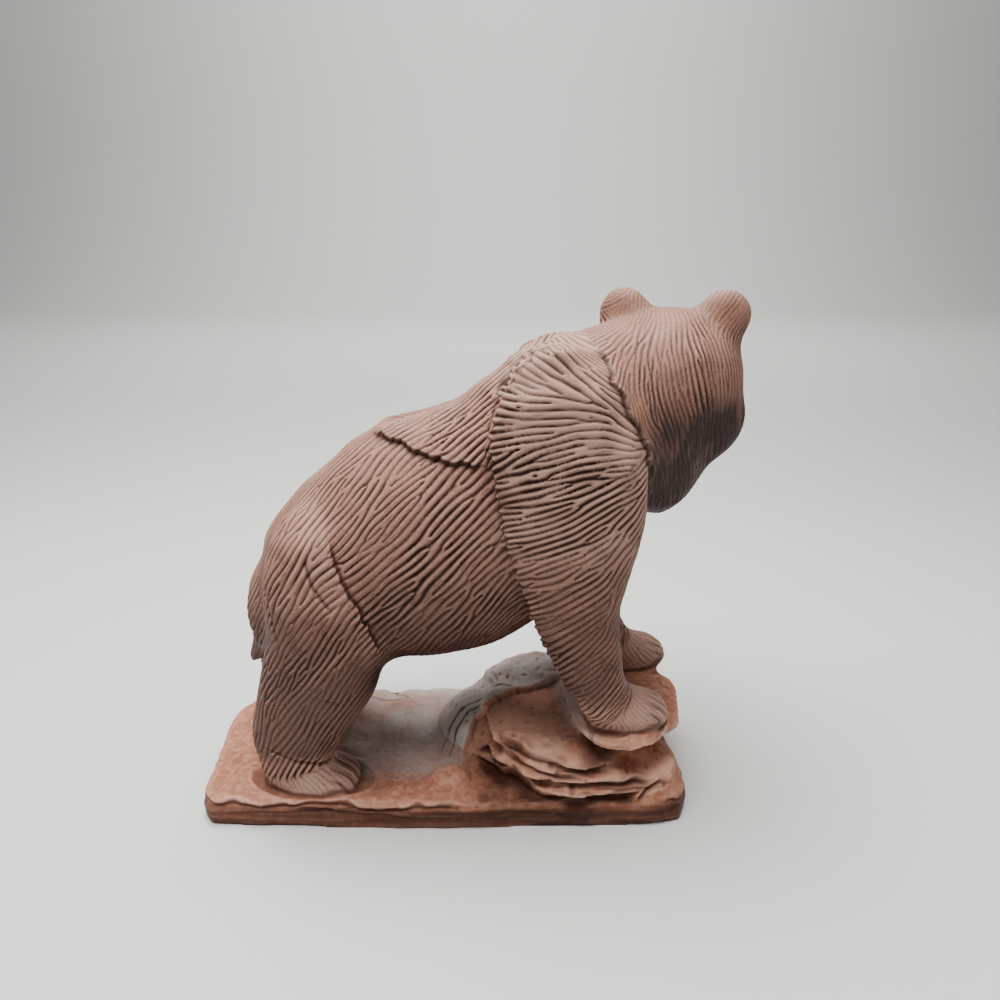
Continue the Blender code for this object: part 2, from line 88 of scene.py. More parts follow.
# Which way the coat lies, seen from the bear's side and 20 degrees above: (x, z, slope up from +X).
COAT_LIE: dict[Zone, tuple[tuple[float, float, float], ...]] = {
    Zone.FLANK: (
        (-88, 94, 62),
        (-90, 60, 55),
        (-89, 40, 72),
        (-75, 26, 56),
        (-73, 41, 57),
        (-72, 56, 54),
        (-69, 84, 53),
        (-78, 104, 66),
        (-66, 109, 58),
        (-66, 131, 59),
        (-54, 99, 50),
        (-55, 86, 56),
        (-56, 73, 52),
        (-44, 73, 57),
        (-58, 58, 50),
        (-45, 58, 54),
        (-62, 42, 62),
        (-58, 147, 52),
        (-42, 140, 52),
        (-42, 115, 43),
        (-30, 150, 50),
        (-30, 131, 43),
        (-30, 107, 40),
        (-44, 162, 36),
        (-24, 70, 38),
        (-18, 120, 40),
        (-9, 92, 45),
        (-5, 150, 43),
        (7, 142, 47),
        (6, 106, 46),
        (18, 105, 49),
        (18, 86, 54),
        (18, 130, 43),
        (19, 154, 44),
        (40, 100, 42),
    ),
    Zone.MANTLE: (
        (-32, 171, 28),
        (-19, 171, 35),
        (-6, 172, 32),
        (7, 173, 40),
        (19, 177, 46),
        (6, 182, 36),
        (18, 187, 45),
        (20, 197, 42),
        (31, 205, 38),
    ),
    Zone.SHOULDER: (
        (30, 198, -28),
        (41, 207, -34),
        (52, 209, -42),
        (52, 199, -20),
        (64, 199, -29),
        (30, 189, -17),
        (41, 189, -2),
        (52, 189, 1),
        (63, 189, -11),
        (75, 188, -21),
        (30, 179, 10),
        (52, 179, 15),
        (63, 180, 4),
        (75, 178, -16),
        (30, 168, 16),
        (53, 169, 20),
        (64, 169, 8),
        (75, 169, 6),
        (88, 165, 40),
        (30, 157, 11),
        (53, 159, 16),
        (76, 158, 26),
        (30, 146, 9),
        (65, 147, 27),
        (77, 146, 36),
        (88, 146, 62),
        (30, 134, 14),
        (53, 136, 19),
        (65, 136, 30),
        (78, 135, 50),
        (42, 124, 17),
        (65, 124, 30),
        (79, 120, 64),
        (42, 111, 21),
        (66, 111, 30),
        (80, 108, 76),
        (43, 99, 12),
        (55, 98, 27),
        (67, 98, 36),
        (78, 92, 72),
        (55, 84, 32),
        (68, 84, 43),
        (69, 70, 42),
        (78, 66, 58),
        (74, 55, 48),
    ),
    Zone.HEAD: (
        (62, 216, 12),
        (70, 211, 34),
        (78, 215, 40),
        (77, 206, 68),
        (90, 215, 66),
        (89, 204, 87),
        (102, 215, 86),
        (101, 204, -78),
        (113, 213, -70),
        (113, 200, -74),
        (127, 202, -77),
        (89, 188, -80),
        (92, 176, -62),
        (102, 184, -66),
        (115, 183, -72),
        (131, 182, -82),
        (103, 171, -63),
        (119, 168, -77),
        (105, 157, -66),
        (93, 150, -75),
        (84, 228, 88),
        (127, 224, 52),
        (136, 222, 60),
    ),
}


@dataclass(frozen=True)
class Step:
    """A line where one part of the coat stands over the next.

    Attributes:
        line: Points (x, z). The raised side is to the left as the line runs.
        height: Height of the step.
        tuft: How far the tips of the raised fur reach past the line.
        pitch: Distance between those tips.
    """

    line: Line
    height: float
    tuft: float
    pitch: float


# The ruff stands over the shoulder on the right side only, since the head is turned to the left.
RUFF = Step(((66, 213), (72, 206), (74, 199), (84, 181), (89, 174), (92, 160), (92, 141)), 1.5, 0.7, 13.0)

# The crease in front of the thigh.
HAUNCH = Step(((-27, 75), (-30, 86), (-35, 100), (-40, 111), (-45, 123), (-48, 134)), 1.7, 0.2, 9.0)

STEPS = (
    Step(
        (
            (53, 215),
            (43, 212),
            (35, 204),
            (27, 193),
            (23, 179),
            (25, 160),
            (30, 133),
            (37, 112),
            (43, 93),
            (50, 76),
            (58, 58),
        ),
        2.8,
        0.55,
        8.0,
    ),
    Step(((-32, 172), (-17, 171), (-6, 167), (4, 165), (23, 164)), 2.2, 0.5, 9.0),
    HAUNCH,
    RUFF,
    Step(((-62, 62), (-50, 57), (-40, 53)), 1.5, 0.6, 4.0),
)

# Fine cuts across the coat: points (x, z) and depth.
CUTS: tuple[tuple[Line, float], ...] = (
    (((-57, 126), (-54, 114), (-49, 107), (-45, 102)), 0.9),
    (((-78, 112), (-74, 99), (-71, 82)), 1.1),
    (((-86, 27), (-68, 19), (-53, 13)), 1.0),
)


# Places where the solid's form is softened further: middle, radius and number of rounds.
SOFT_SPOTS: tuple[tuple[tuple[float, float, float], float, int], ...] = (
    ((-30, -8, 56), 24, 160),
    ((60, -31, 27), 9, 90),
)

# Rim of the smooth hollow in the boulder's right face, seen from above: (x, y). Behind it is the ridge.
HOLLOW_RIM = ((-10, -34), (3, -24), (7, -19), (10, -13), (13, -5), (21, -2), (32, 6), (46, 13), (66, 18))
HOLLOW_DEPTH = 3.2

# Dark creases along the ridge and cracks in the slab's top, seen from above.
CREASES: tuple[Line, ...] = (
    ((-4, -14), (1, -6), (6, 2), (16, 8), (28, 12)),
    ((0, -19), (5, -9), (9, -1), (18, 3)),
    ((24, 16), (30, 10), (35, 8)),
    ((-35, 47), (-34, 41), (-28, 36), (-25, 33)),
    ((-52, 37), (-42, 33), (-29, 35)),
)

# Beds of the boulder's right face and edges along the slab's, each raised above its line (x, z).
SHELVES = (
    Step(((24, 24), (36, 21.5), (47, 20), (60, 16.5), (72, 13), (84, 12)), 2.6, 1.2, 12.0),
    Step(((11, 8), (24, 8), (40, 10), (56, 9), (76, 9), (104, 7)), 2.6, 1.4, 14.0),
    Step(((30, 17), (44, 14.5), (58, 12.5), (70, 11)), 1.6, 1.0, 9.0),
    Step(((12, 2.8), (30, 3.0), (56, 2.2), (80, 2.2), (98, 2.5)), 4.2, 1.3, 13.0),
    Step(((64, 24), (76, 25.5), (84, 26), (100, 28), (113, 31)), 2.8, 1.2, 8.0),
    Step(
        ((-116, -2.4), (-88, -2), (-70, -0.8), (-50, -0.8), (-32, -2.2), (-12, -1.8), (12, -2.4)),
        1.5,
        1.0,
        12.0,
    ),
    Step(((-110, -7), (-60, -5), (-10, -7), (40, -5.5), (90, -8)), 0.9, 1.0, 16.0),
    Step(((90, -4), (98, 3), (104, 7), (112, 4)), 1.6, 0.8, 9.0),
)


@dataclass(frozen=True)
class Paw:
    """A paw's place and size.

    Attributes:
        middle: Its middle.
        half_length: Half its length.
        half_width: Half its width.
        turn: Degrees that it points to the bear's left.
        ankle: Point that its grooves fan out from.
        ground: Height of the rock under it.
    """

    middle: tuple[float, float, float]
    half_length: float
    half_width: float
    turn: float
    ankle: tuple[float, float, float]
    ground: float

    def local(self, points: Array) -> tuple[Array, Array]:
        """Measures places from the paw's middle.

        Args:
            points: Places.

        Returns:
            How far ahead of the middle they are, and how far to its left.
        """
        turn = math.radians(self.turn)
        x, y, _ = (points - np.array(self.middle)).T
        return x * math.cos(turn) + y * math.sin(turn), y * math.cos(turn) - x * math.sin(turn)


PAWS = (
    Paw((90, -27, 39), 16, 14, -8, (81, -28, 48), 31.6),
    Paw((100, 28, 38), 16, 14, 6, (90, 28, 48), 31.6),
    Paw((-66, -32, 4), 21, 14, -4, (-76, -31, 15), 0.9),
    Paw((-82, 32, 4), 21, 14, 4, (-92, 31, 15), 0.9),
)

# Axes of the forelegs from elbow to wrist.
FORELEGS = (
    ((66, -31, 78), (82, -28, 42)),
    ((68, 31, 78), (90, 28, 42)),
)


@dataclass(frozen=True)
class SkinSize:
    """How finely the casting is skinned and how far its flat facets are softened.

    Attributes:
        voxel: Side of a quad of the coarse skin. The fine skin has half of it.
        coat_rounds: Rounds of smoothing on the coat.
        rock_share: Share of them that the rock takes.
        paw_share: Share that the paws take.
        ear_loss: Share that the ears are spared.
        ear_height: Height at which the ears begin, and at which that share is full.
    """

    voxel: float = 1.37
    coat_rounds: int = 35
    rock_share: float = 0.10
    paw_share: float = 0.22
    ear_loss: float = 0.65
    ear_height: tuple[float, float] = (214, 222)


@dataclass(frozen=True)
class CutSize:
    """Where one piece of the skin is cut from the next: X of upright cuts and height of level ones."""

    slab: float = -16.0
    rump: float = -34.0
    chest: float = 14.0
    hind_legs: float = 92.0
    forelegs: float = 112.0


@dataclass(frozen=True)
class GougeSize:
    """The gouge's grooves.

    Attributes:
        flank: Distance between grooves on the flank, and so on for the other places.
        depth: Depth of a groove as a share of that distance.
        width: Width of a groove as a share of it.
        uneven: How much the distance varies.
        split: Depth of the fine line along some ridges, as a share of a groove's.
        crown: Height of a ridge's crown, as a share of a groove's depth.
        spared_head: Share by which the grooves are shallower on the head, and so on.
        solve_rounds: Rounds for counting the grooves.
        settle_rounds: Rounds for joining their forks.
    """

    flank: float = 3.3
    shoulder: float = 3.1
    shank: float = 2.7
    head: float = 2.4
    ear: float = 1.9
    paw: float = 2.4
    depth: float = 0.40
    width: float = 0.62
    uneven: float = 0.18
    split: float = 0.28
    crown: float = 0.14
    spared_head: float = 0.25
    spared_ears: float = 0.45
    spared_paws: float = 0.4
    spared_muzzle: float = 0.7
    spared_tail: float = 0.55
    solve_rounds: int = 600
    settle_rounds: int = 70


@dataclass(frozen=True)
class ResinFinish:
    """Colours of the casting as sRGB hex, and its gloss."""

    # Dark brown of the wash in the grooves, also used for painted shade.
    groove: str = "#2a1009"
    coat: str = "#7f5345"
    coat_warm: str = "#84594a"
    # Pale colour of the ridges, also used for the painted light on the paws.
    ridge: str = "#bf9887"
    rock: str = "#ad6f57"
    rock_deep: str = "#9c664f"
    rock_light: str = "#dfab92"
    dust: str = "#d3c9c2"
    stain: str = "#2c2423"
    roughness: float = 0.62
    specular: float = 0.18


@dataclass(frozen=True)
class StudioSize:
    """Camera, lights and floor, in metres, degrees and watts."""

    camera_place: tuple[float, float, float] = (0.027, -0.338, 0.273)
    camera_pitch: float = 70.0
    lens: float = 27.04
    floor_half: float = 2.2
    floor_bend: float = 1.0
    floor_steps: int = 24
    floor_colour: str = "#dcdcd9"
    floor_roughness: float = 0.9
    overhead_watts: float = 26.0
    fill_watts: float = 0.9
    wall_watts: float = 52.0
    room_colour: tuple[float, float, float, float] = (0.8, 0.82, 0.84, 1.0)
    room_strength: float = 0.22


# Small numeric helpers


def linear(hex_colour: str) -> tuple[float, float, float, float]:
    """Turns an sRGB hex colour into linear RGBA.

    Args:
        hex_colour: Such as "#7d5a4e".

    Returns:
        Linear red, green, blue and 1.
    """
    parts = (int(hex_colour[k : k + 2], 16) / 255 for k in (1, 3, 5))
    red, green, blue = (p / 12.92 if p <= 0.04045 else ((p + 0.055) / 1.055) ** 2.4 for p in parts)
    return red, green, blue, 1.0


def ease(value: Array, low: float, high: float) -> Array:
    """Goes smoothly from 0 at low to 1 at high.

    Args:
        value: Values to ease.
        low: Where the result is 0.
        high: Where the result is 1.

    Returns:
        Eased shares.
    """
    t = np.clip((value - low) / (high - low), 0, 1)
    return t * t * (3 - 2 * t)


def scatter(index: Array, values: Array, count: int) -> Array:
    """Sums rows of values by index.

    Args:
        index: Target row of each value.
        values: Rows, one per index.
        count: Number of target rows.

    Returns:
        The sums, count rows.
    """
    return np.stack([np.bincount(index, weights=column, minlength=count) for column in values.T], 1)


def unit(vectors: Array) -> Array:
    """Returns vectors at length 1."""
    return vectors / np.maximum(np.linalg.norm(vectors, axis=1), 1e-9)[:, None]


def flatten_to(vectors: Array, normals: Array) -> Array:
    """Returns unit vectors laid into the planes of the normals."""
    return unit(vectors - normals * np.sum(vectors * normals, axis=1)[:, None])


def lattice_value(x: Array, y: Array, z: Array, seed: int) -> Array:
    """Gives each lattice point a fixed random value.

    Args:
        x: Lattice places along X.
        y: Lattice places along Y.
        z: Lattice places along Z.
        seed: Picks one of many patterns.

    Returns:
        Values from -1 to 1.
    """
    mixed = x * 374761393 + y * 668265263 + z * 1274126177 + seed * 974634777
    mixed = (mixed ^ (mixed >> 13)) * 1103515245
    mixed = mixed ^ (mixed >> 16)
    return (mixed & 0xFFFF) / 32767.5 - 1


def within(value: Array, start: float, full: float, end: float, fade: float) -> Array:
    """Goes smoothly from 0 at start to 1 at full, and back to 0 over the last stretch before end.

    Args:
        value: Values to ease.
        start: Where the result leaves 0.
        full: Where the result reaches 1.
        end: Where the result is 0 again.
        fade: Length of the last stretch.

    Returns:
        Eased shares.
    """
    return ease(value, start, full) * ease(end - value, 0, fade)


def rough(points: Array, size: float | tuple[float, float, float], seed: int, octaves: int = 1) -> Array:
    """Works out smooth random values over space.

    Args:
        points: Places.
        size: Size of the pattern, one for all axes or one each.
        seed: Picks the pattern.
        octaves: Number of patterns added, each half as large as the last.

    Returns:
        Values of about -1 to 1.
    """
    total = np.zeros(len(points))
    for octave in range(octaves):
        scaled = points / np.asarray(size) * 2.0**octave
        floor = np.floor(scaled).astype(np.int64)
        part = scaled - floor
        part = part**3 * (part * (part * 6 - 15) + 10)
        layer = np.zeros(len(points))
        for corner in range(8):
            bits = (corner & 1, corner >> 1 & 1, corner >> 2 & 1)
            weight = np.ones(len(points))
            for axis, bit in enumerate(bits):
                weight *= part[:, axis] if bit else 1 - part[:, axis]
            cell = floor + np.array(bits)
            layer += weight * lattice_value(cell[:, 0], cell[:, 1], cell[:, 2], seed + octave)
        total += layer * 0.5**octave
    return total


def beside_line(places: Array, line: Line) -> tuple[Array, Array]:
    """Measures places against a line of points.

    Args:
        places: (x, z) rows.
        line: Points of the line.

    Returns:
        Distance from the line, positive on its left, and the length along it of the nearest point.
    """
    nearest = np.full(len(places), np.inf)
    left = np.zeros(len(places))
    along = np.zeros(len(places))
    done = 0.0
    for start, end in zip(np.array(line[:-1], float), np.array(line[1:], float)):
        run = end - start
        length = float(np.linalg.norm(run))
        share = np.clip((places - start) @ run / length**2, 0, 1)
        gap = places - (start + share[:, None] * run)
        distance = np.linalg.norm(gap, axis=1)
        closer = distance < nearest
        side = np.sign(run[0] * gap[:, 1] - run[1] * gap[:, 0])
        nearest = np.where(closer, distance, nearest)
        left = np.where(closer, distance * side, left)
        along = np.where(closer, done + share * length, along)
        done += length
    return left, along


def length_of(line: Line) -> float:
    """Returns the length of a line of points."""
    return sum(math.dist(start, end) for start, end in zip(line, line[1:]))


def from_segment(points: Array, start: tuple[float, ...], end: tuple[float, ...]) -> Array:
    """Measures points against a straight segment.

    Args:
        points: Places.
        start: One end.
        end: The other end.

    Returns:
        Distances from the segment.
    """
    first, run = np.array(start, float), np.array(end, float) - np.array(start, float)
    share = np.clip((points - first) @ run / (run @ run), 0, 1)
    return np.linalg.norm(points - (first + share[:, None] * run), axis=1)


def head_axes(points: Array) -> Array:
    """Measures points from the middle of the head.

    Args:
        points: Places.

    Returns:
        Rows of how far ahead of it, to its left and above it they are.
    """
    x, y, z = (points - np.array(HEAD_MIDDLE)).T
    c, s = math.cos(HEAD_TURN), math.sin(HEAD_TURN)
    return np.stack([x * c + y * s, y * c - x * s, z], 1)


def from_head(ahead: float, beside: float, up: float) -> tuple[float, float, float]:
    """Finds a point from the middle of the head.

    Args:
        ahead: How far ahead of the middle.
        beside: How far to the head's left.
        up: How far above.

    Returns:
        The place.
    """
    x, y, z = HEAD_MIDDLE
    c, s = math.cos(HEAD_TURN), math.sin(HEAD_TURN)
    return x + ahead * c - beside * s, y + ahead * s + beside * c, z + up


@dataclass
class Skin:
    """A closed skin of quads.

    Attributes:
        points: Corner places.
        quads: Four corners each.
    """

    points: Array
    quads: Array

    def normals(self) -> Array:
        """Returns the unit normal at each corner."""
        a, b, c, d = (self.points[self.quads[:, k]] for k in range(4))
        across = np.cross(c - a, d - b)
        index = self.quads.T.ravel()
        return unit(scatter(index, np.tile(across, (4, 1)), len(self.points)))

    def edges(self) -> tuple[Array, Array]:
        """Lists each edge once.

        Returns:
            Edges as pairs of corners, and the edge of each side of each quad.
        """
        sides = np.stack([self.quads, np.roll(self.quads, -1, axis=1)], 2)
        sides = np.sort(sides.reshape(-1, 2), axis=1)
        key = sides[:, 0].astype(np.int64) * len(self.points) + sides[:, 1]
        _, first, inverse = np.unique(key, return_index=True, return_inverse=True)
        return sides[first], inverse.reshape(-1, 4)

    def smooth(self, share: Array, rounds: int) -> None:
        """Moves each corner part of the way to the middle of its neighbours.

        Args:
            share: How much of the full effect each corner takes.
            rounds: Number of times.
        """
        edges, _ = self.edges()
        count = len(self.points)
        degree = np.bincount(edges.ravel(), minlength=count)[:, None]
        for _ in range(rounds):
            total = scatter(edges[:, 0], self.points[edges[:, 1]], count)
            total += scatter(edges[:, 1], self.points[edges[:, 0]], count)
            self.points = self.points + (total / degree - self.points) * share[:, None] * 0.5

    def refined(self) -> tuple["Skin", Array]:
        """Splits each quad into four.

        Returns:
            The finer skin, and four parent corners for each of its corners.
        """
        edges, side = self.edges()
        corners = np.arange(len(self.points))
        parents = np.concatenate(
            [
                np.stack([corners] * 4, 1),
                edges[:, [0, 1, 0, 1]],
                self.quads,
            ]
        )
        points = self.points[parents].mean(axis=1)
        ab, bc, cd, da = (side[:, k] + len(corners) for k in range(4))
        a, b, c, d = self.quads.T
        middle = np.arange(len(self.quads)) + len(corners) + len(edges)
        quads = np.concatenate(
            [
                np.stack([a, ab, middle, da], 1),
                np.stack([ab, b, bc, middle], 1),
                np.stack([middle, bc, c, cd], 1),
                np.stack([da, middle, cd, d], 1),
            ]
        )
        return Skin(points, quads), parents


def skin_casting(size: SkinSize) -> Skin:
    """Skins the casting's solid with even quads, leaving its flat underside open.

    Args:
        size: Fineness of the skin.

    Returns:
        The skin.
    """
    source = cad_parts[NODE]
    solid = bmesh.new()
    solid.from_mesh(source.data)
    bmesh.ops.transform(solid, matrix=source.matrix_world, verts=solid.verts)
    bmesh.ops.remove_doubles(solid, verts=solid.verts, dist=1e-6)
    mesh = bpy.data.meshes.new("casting")
    solid.to_mesh(mesh)
    solid.free()
    holder = bpy.data.objects.new("casting", mesh)
    bpy.context.scene.collection.objects.link(holder)
    remesh = holder.modifiers.new("even skin", "REMESH")
    remesh.mode = "VOXEL"
    remesh.voxel_size = size.voxel * MM
    bpy.context.view_layer.update()
    graph = bpy.context.evaluated_depsgraph_get()
    fine = bpy.data.meshes.new_from_object(holder.evaluated_get(graph), depsgraph=graph)
    points = np.empty(len(fine.vertices) * 3, np.float32)
    fine.vertices.foreach_get("co", points)
    quads = np.empty(len(fine.loops), np.int32)
    fine.loops.foreach_get("vertex_index", quads)
    bpy.data.objects.remove(holder)
    for used in (mesh, fine):
        bpy.data.meshes.remove(used)
    points = points.reshape(-1, 3).astype(float) / MM
    quads = quads.reshape(-1, 4).astype(np.int64)
    points[points[:, 2] < 0.5 * size.voxel, 2] = 0.0
    underside = (points[quads][:, :, 2] == 0.0).all(axis=1)
    quads = quads[~underside]
    used_corners, quads = np.unique(quads, return_inverse=True)
    points = points[used_corners]
    points[:, 2] -= BASE_THICKNESS
    return Skin(points, quads.reshape(-1, 4))


@dataclass(frozen=True)
class Anatomy:
    """Tells the bear from its rock, and one zone of the coat from the next.

    Attributes:
        rock_height: Height above which there is only bear.
        slab_height: Height above which there is only bear over the bare slab.
        boulder_start: X behind which the slab is bare.
        foreleg_radius: Radius of a foreleg about its axis.
        foreleg_end: Height at which the forelegs stop.
        head_radius: Radius of the head and ruff about the head's axis.
        ruff_side: Y up to which the ruff's edge bounds the head.
        ruff_bottom: Height above which it does.
        paw_length: How far a paw reaches, as a factor of its half length.
        paw_height: Half height of a paw.
        paw_depth_scale: Depth inside a paw for a reach of 1 less than its edge's.
    """

    rock_height: float = 38.0
    slab_height: float = 3.2
    boulder_start: float = -30.0
    foreleg_radius: float = 16.5
    foreleg_end: float = 32.0
    head_radius: float = 37.0
    ruff_side: float = 14.0
    ruff_bottom: float = 128.0
    paw_length: float = 1.28
    paw_height: float = 10.0
    paw_depth_scale: float = 13.0

    def paw_depth(self, points: Array, paw: Paw, spread: float) -> Array:
        """Measures how far inside a paw points lie.

        Args:
            points: Places.
            paw: The paw.
            spread: Size of the paw to go by, as a factor.

        Returns:
            Depths, positive inside.
        """
        ahead, beside = paw.local(points)
        ahead = ahead / (paw.half_length * self.paw_length)
        beside = beside / paw.half_width
        height = (points[:, 2] - paw.middle[2]) / self.paw_height
        reach = np.sqrt(ahead**2 + beside**2 + height**2)
        return np.minimum((spread - reach) * self.paw_depth_scale, points[:, 2] - paw.ground)

    def bear_depth(self, points: Array) -> Array:
        """Measures how far points are from the line between rock and bear.

        Args:
            points: Places.

        Returns:
            Depths, positive on the bear.
        """
        x, _, z = points.T
        depth = np.maximum(z - self.rock_height, np.minimum(z - self.slab_height, self.boulder_start - x))
        for start, end in FORELEGS:
            leg = self.foreleg_radius - from_segment(points, start, end)
            depth = np.maximum(depth, np.minimum(leg, z - self.foreleg_end))
        for paw in PAWS:
            depth = np.maximum(depth, self.paw_depth(points, paw, 1.12))
        return depth

    def paw_share(self, points: Array) -> Array:
        """Tells the paws from the rest.

        Args:
            points: Places.

        Returns:
            1 on the paws and 0 off them.
        """
        depth = np.full(len(points), -10.0)
        for paw in PAWS:
            depth = np.maximum(depth, self.paw_depth(points, paw, 1.08))
        return ease(depth, -1.5, 1.5)

    def head_depth(self, points: Array) -> Array:
        """Measures how far points are inside the head and ruff.

        Args:
            points: Places.

        Returns:
            Depths, positive inside.
        """
        left, _ = beside_line(points[:, [0, 2]], RUFF.line)
        bounded = (points[:, 1] < self.ruff_side) & (points[:, 2] > self.ruff_bottom)
        near = np.where(bounded, left, -20.0)
        axis = from_segment(points, from_head(0, 0, -8), from_head(52, 0, -12))
        return np.maximum(near, self.head_radius - axis)

    def zones(self, points: Array) -> Array:
        """Sorts points by the coat's zones.

        Args:
            points: Places.

        Returns:
            The value of each point's Zone.
        """
        places = points[:, [0, 2]]
        shoulder, _ = beside_line(places, STEPS[0].line)
        mantle, _ = beside_line(places, STEPS[1].line)
        zone = np.full(len(points), Zone.FLANK.value)
        zone[(mantle > 0) & (places[:, 0] > -34)] = Zone.MANTLE.value
        zone[(shoulder > 0) & (places[:, 0] > 18)] = Zone.SHOULDER.value
        zone[self.head_depth(points) > 0] = Zone.HEAD.value
        return zone


@dataclass
class Fur:
    """The lie of the coat over a skin.

    Attributes:
        across: Direction over the grooves, in the skin.
        spacing: Distance between grooves.
        turns: Number of grooves passed on the way across, whole at the bottom of a groove.
    """

    across: Array
    spacing: Array
    turns: Array


class Gouge:
    """Cuts the coat's grooves."""

    def __init__(self, size: GougeSize, anatomy: Anatomy) -> None:
        """Keeps the sizes and the anatomy."""
        self.size = size
        self.anatomy = anatomy

    def slopes(self, points: Array, zones: Array) -> Array:
        """Mixes the lie of the coat from the guides of each point's zone.

        Args:
            points: Places.
            zones: Zone of each place.

        Returns:
            Slopes in radians.
        """
        slope = np.zeros(len(points))
        for zone, guides in COAT_LIE.items():
            chosen = zones == zone.value
            places = points[chosen][:, [0, 2]]
            mixed = np.zeros(len(places), complex)
            for x, z, angle in guides:
                weight = 1 / (np.sum((places - (x, z)) ** 2, axis=1) ** 2 + 60)
                mixed += weight * np.exp(2j * math.radians(angle))
            slope[chosen] = np.angle(mixed) / 2
        slope = np.where(slope < -math.pi / 4, slope + math.pi, slope)
        drift = 5.0 * rough(points, 30, 11) + 2.5 * rough(points, 12, 12)
        return slope + np.radians(drift)

    def directions(self, points: Array, normals: Array) -> Array:
        """Finds the direction of the grooves in the skin.

        Args:
            points: Places.
            normals: Skin's normals there.

        Returns:
            Unit directions.
        """
        zones = self.anatomy.zones(points)
        slope = self.slopes(points, zones)
        head = zones == Zone.HEAD.value
        side = np.where((points[:, 1] > 0) & ~head, -1.0, 1.0)
        sight = np.stack([0 * side, side * math.cos(VIEW_PITCH), 0 * side - math.sin(VIEW_PITCH)], 1)
        upward = np.stack([0 * side, side * math.sin(VIEW_PITCH), 0 * side + math.cos(VIEW_PITCH)], 1)
        drawn = upward * np.sin(slope)[:, None]
        drawn[:, 0] = np.cos(slope)
        facing = np.sum(sight * normals, axis=1)
        slide = -np.sum(drawn * normals, axis=1) * facing / (facing**2 + 0.06)
        lie = flatten_to(drawn + sight * slide[:, None], normals)
        from_nose = flatten_to(points - np.array(from_head(60, 0, -8)), normals)
        lie = self.turned_to(lie, from_nose, head * ease(facing, -0.10, 0.25))
        for paw in PAWS:
            fan = flatten_to(points - np.array(paw.ankle), normals)
            share = ease(self.anatomy.paw_depth(points, paw, 1.15), -2.0, 3.0)
            lie = self.turned_to(lie, fan, share)
        return lie

    def turned_to(self, lie: Array, other: Array, share: Array) -> Array:
        """Returns lie turned by share towards other, taking the shorter way round."""
        other = other * np.where(np.sum(lie * other, axis=1) < 0, -1.0, 1.0)[:, None]
        return unit(lie * (1 - share)[:, None] + other * share[:, None])

    def spacings(self, points: Array) -> Array:
        """Works out the distance between grooves.

        Args:
            points: Places.

        Returns:
            Distances.
        """
        size = self.size
        zones = self.anatomy.zones(points)
        spacing = np.where(zones == Zone.SHOULDER.value, size.shoulder, size.flank)
        low = 1 - ease(points[:, 2], 60, 105)
        spacing = spacing + (size.shank - spacing) * low
        spacing = np.where(zones == Zone.HEAD.value, size.head, spacing)
        spacing = spacing + (size.ear - spacing) * ease(points[:, 2], 214, 221)
        spacing = spacing + (size.paw - spacing) * self.anatomy.paw_share(points)
        return spacing * (1 + size.uneven * rough(points, 13, 13))

    def join(self, skin: Skin, across: Array, along: Array, spacing: Array) -> tuple[Array, Array, Array]:
        """Works out how each corner's place between two grooves follows from its neighbour's.

        Args:
            skin: The coarse skin.
            across: Direction over the grooves.
            along: Direction of the grooves.
            spacing: Distance between grooves.

        Returns:
            For each edge: whether both ends face the same way as 1 or -1, the turns from its second
            end to its first, and how firmly the two are joined.
        """
        edges, _ = skin.edges()
        i, j = edges.T
        same = np.where(np.sum(across[i] * across[j], axis=1) < 0, -1.0, 1.0)
        step = skin.points[i] - skin.points[j]
        mean = unit(across[i] + across[j] * same[:, None])
        turns = np.sum(step * mean, axis=1) / (0.5 * (spacing[i] + spacing[j]))
        alike = ease(np.abs(np.sum(along[i] * along[j], axis=1)), 0.70, 0.92)
        lengthwise = np.sum(unit(step) * along[i], axis=1) ** 2
        return same, turns, (alike + 0.001) * (0.25 + lengthwise)

    def solve(self, edges: Array, joins: tuple[Array, Array, Array], start: Array) -> Array:
        """Counts grooves over the skin with the least stretch, by conjugate gradients.

        Args:
            edges: Pairs of corners.
            joins: What join returns.
            start: First guess, in turns.

        Returns:
            Turns at each corner.
        """
        same, turns, weight = joins
        i, j = edges.T
        index = edges.T.ravel()
        count = len(start)
        degree = np.bincount(index, weights=np.tile(weight, 2), minlength=count)

        def spread(value: Array) -> Array:
            """Returns each corner's share of the stretch in its edges."""
            stretch = weight * (value[i] - same * value[j])
            return np.bincount(index, weights=np.concatenate([stretch, -same * stretch]), minlength=count)

        pull = weight * turns
        goal = np.bincount(index, weights=np.concatenate([pull, -same * pull]), minlength=count)
        value = start.copy()
        rest = goal - spread(value)
        ready = rest / degree
        heading = ready.copy()
        power = rest @ ready
        for _ in range(self.size.solve_rounds):
            spent = spread(heading)
            length = power / max(heading @ spent, 1e-12)
            value += length * heading
            rest -= length * spent
            ready = rest / degree
            power, last = rest @ ready, power
            heading = ready + heading * (power / last)
        return value

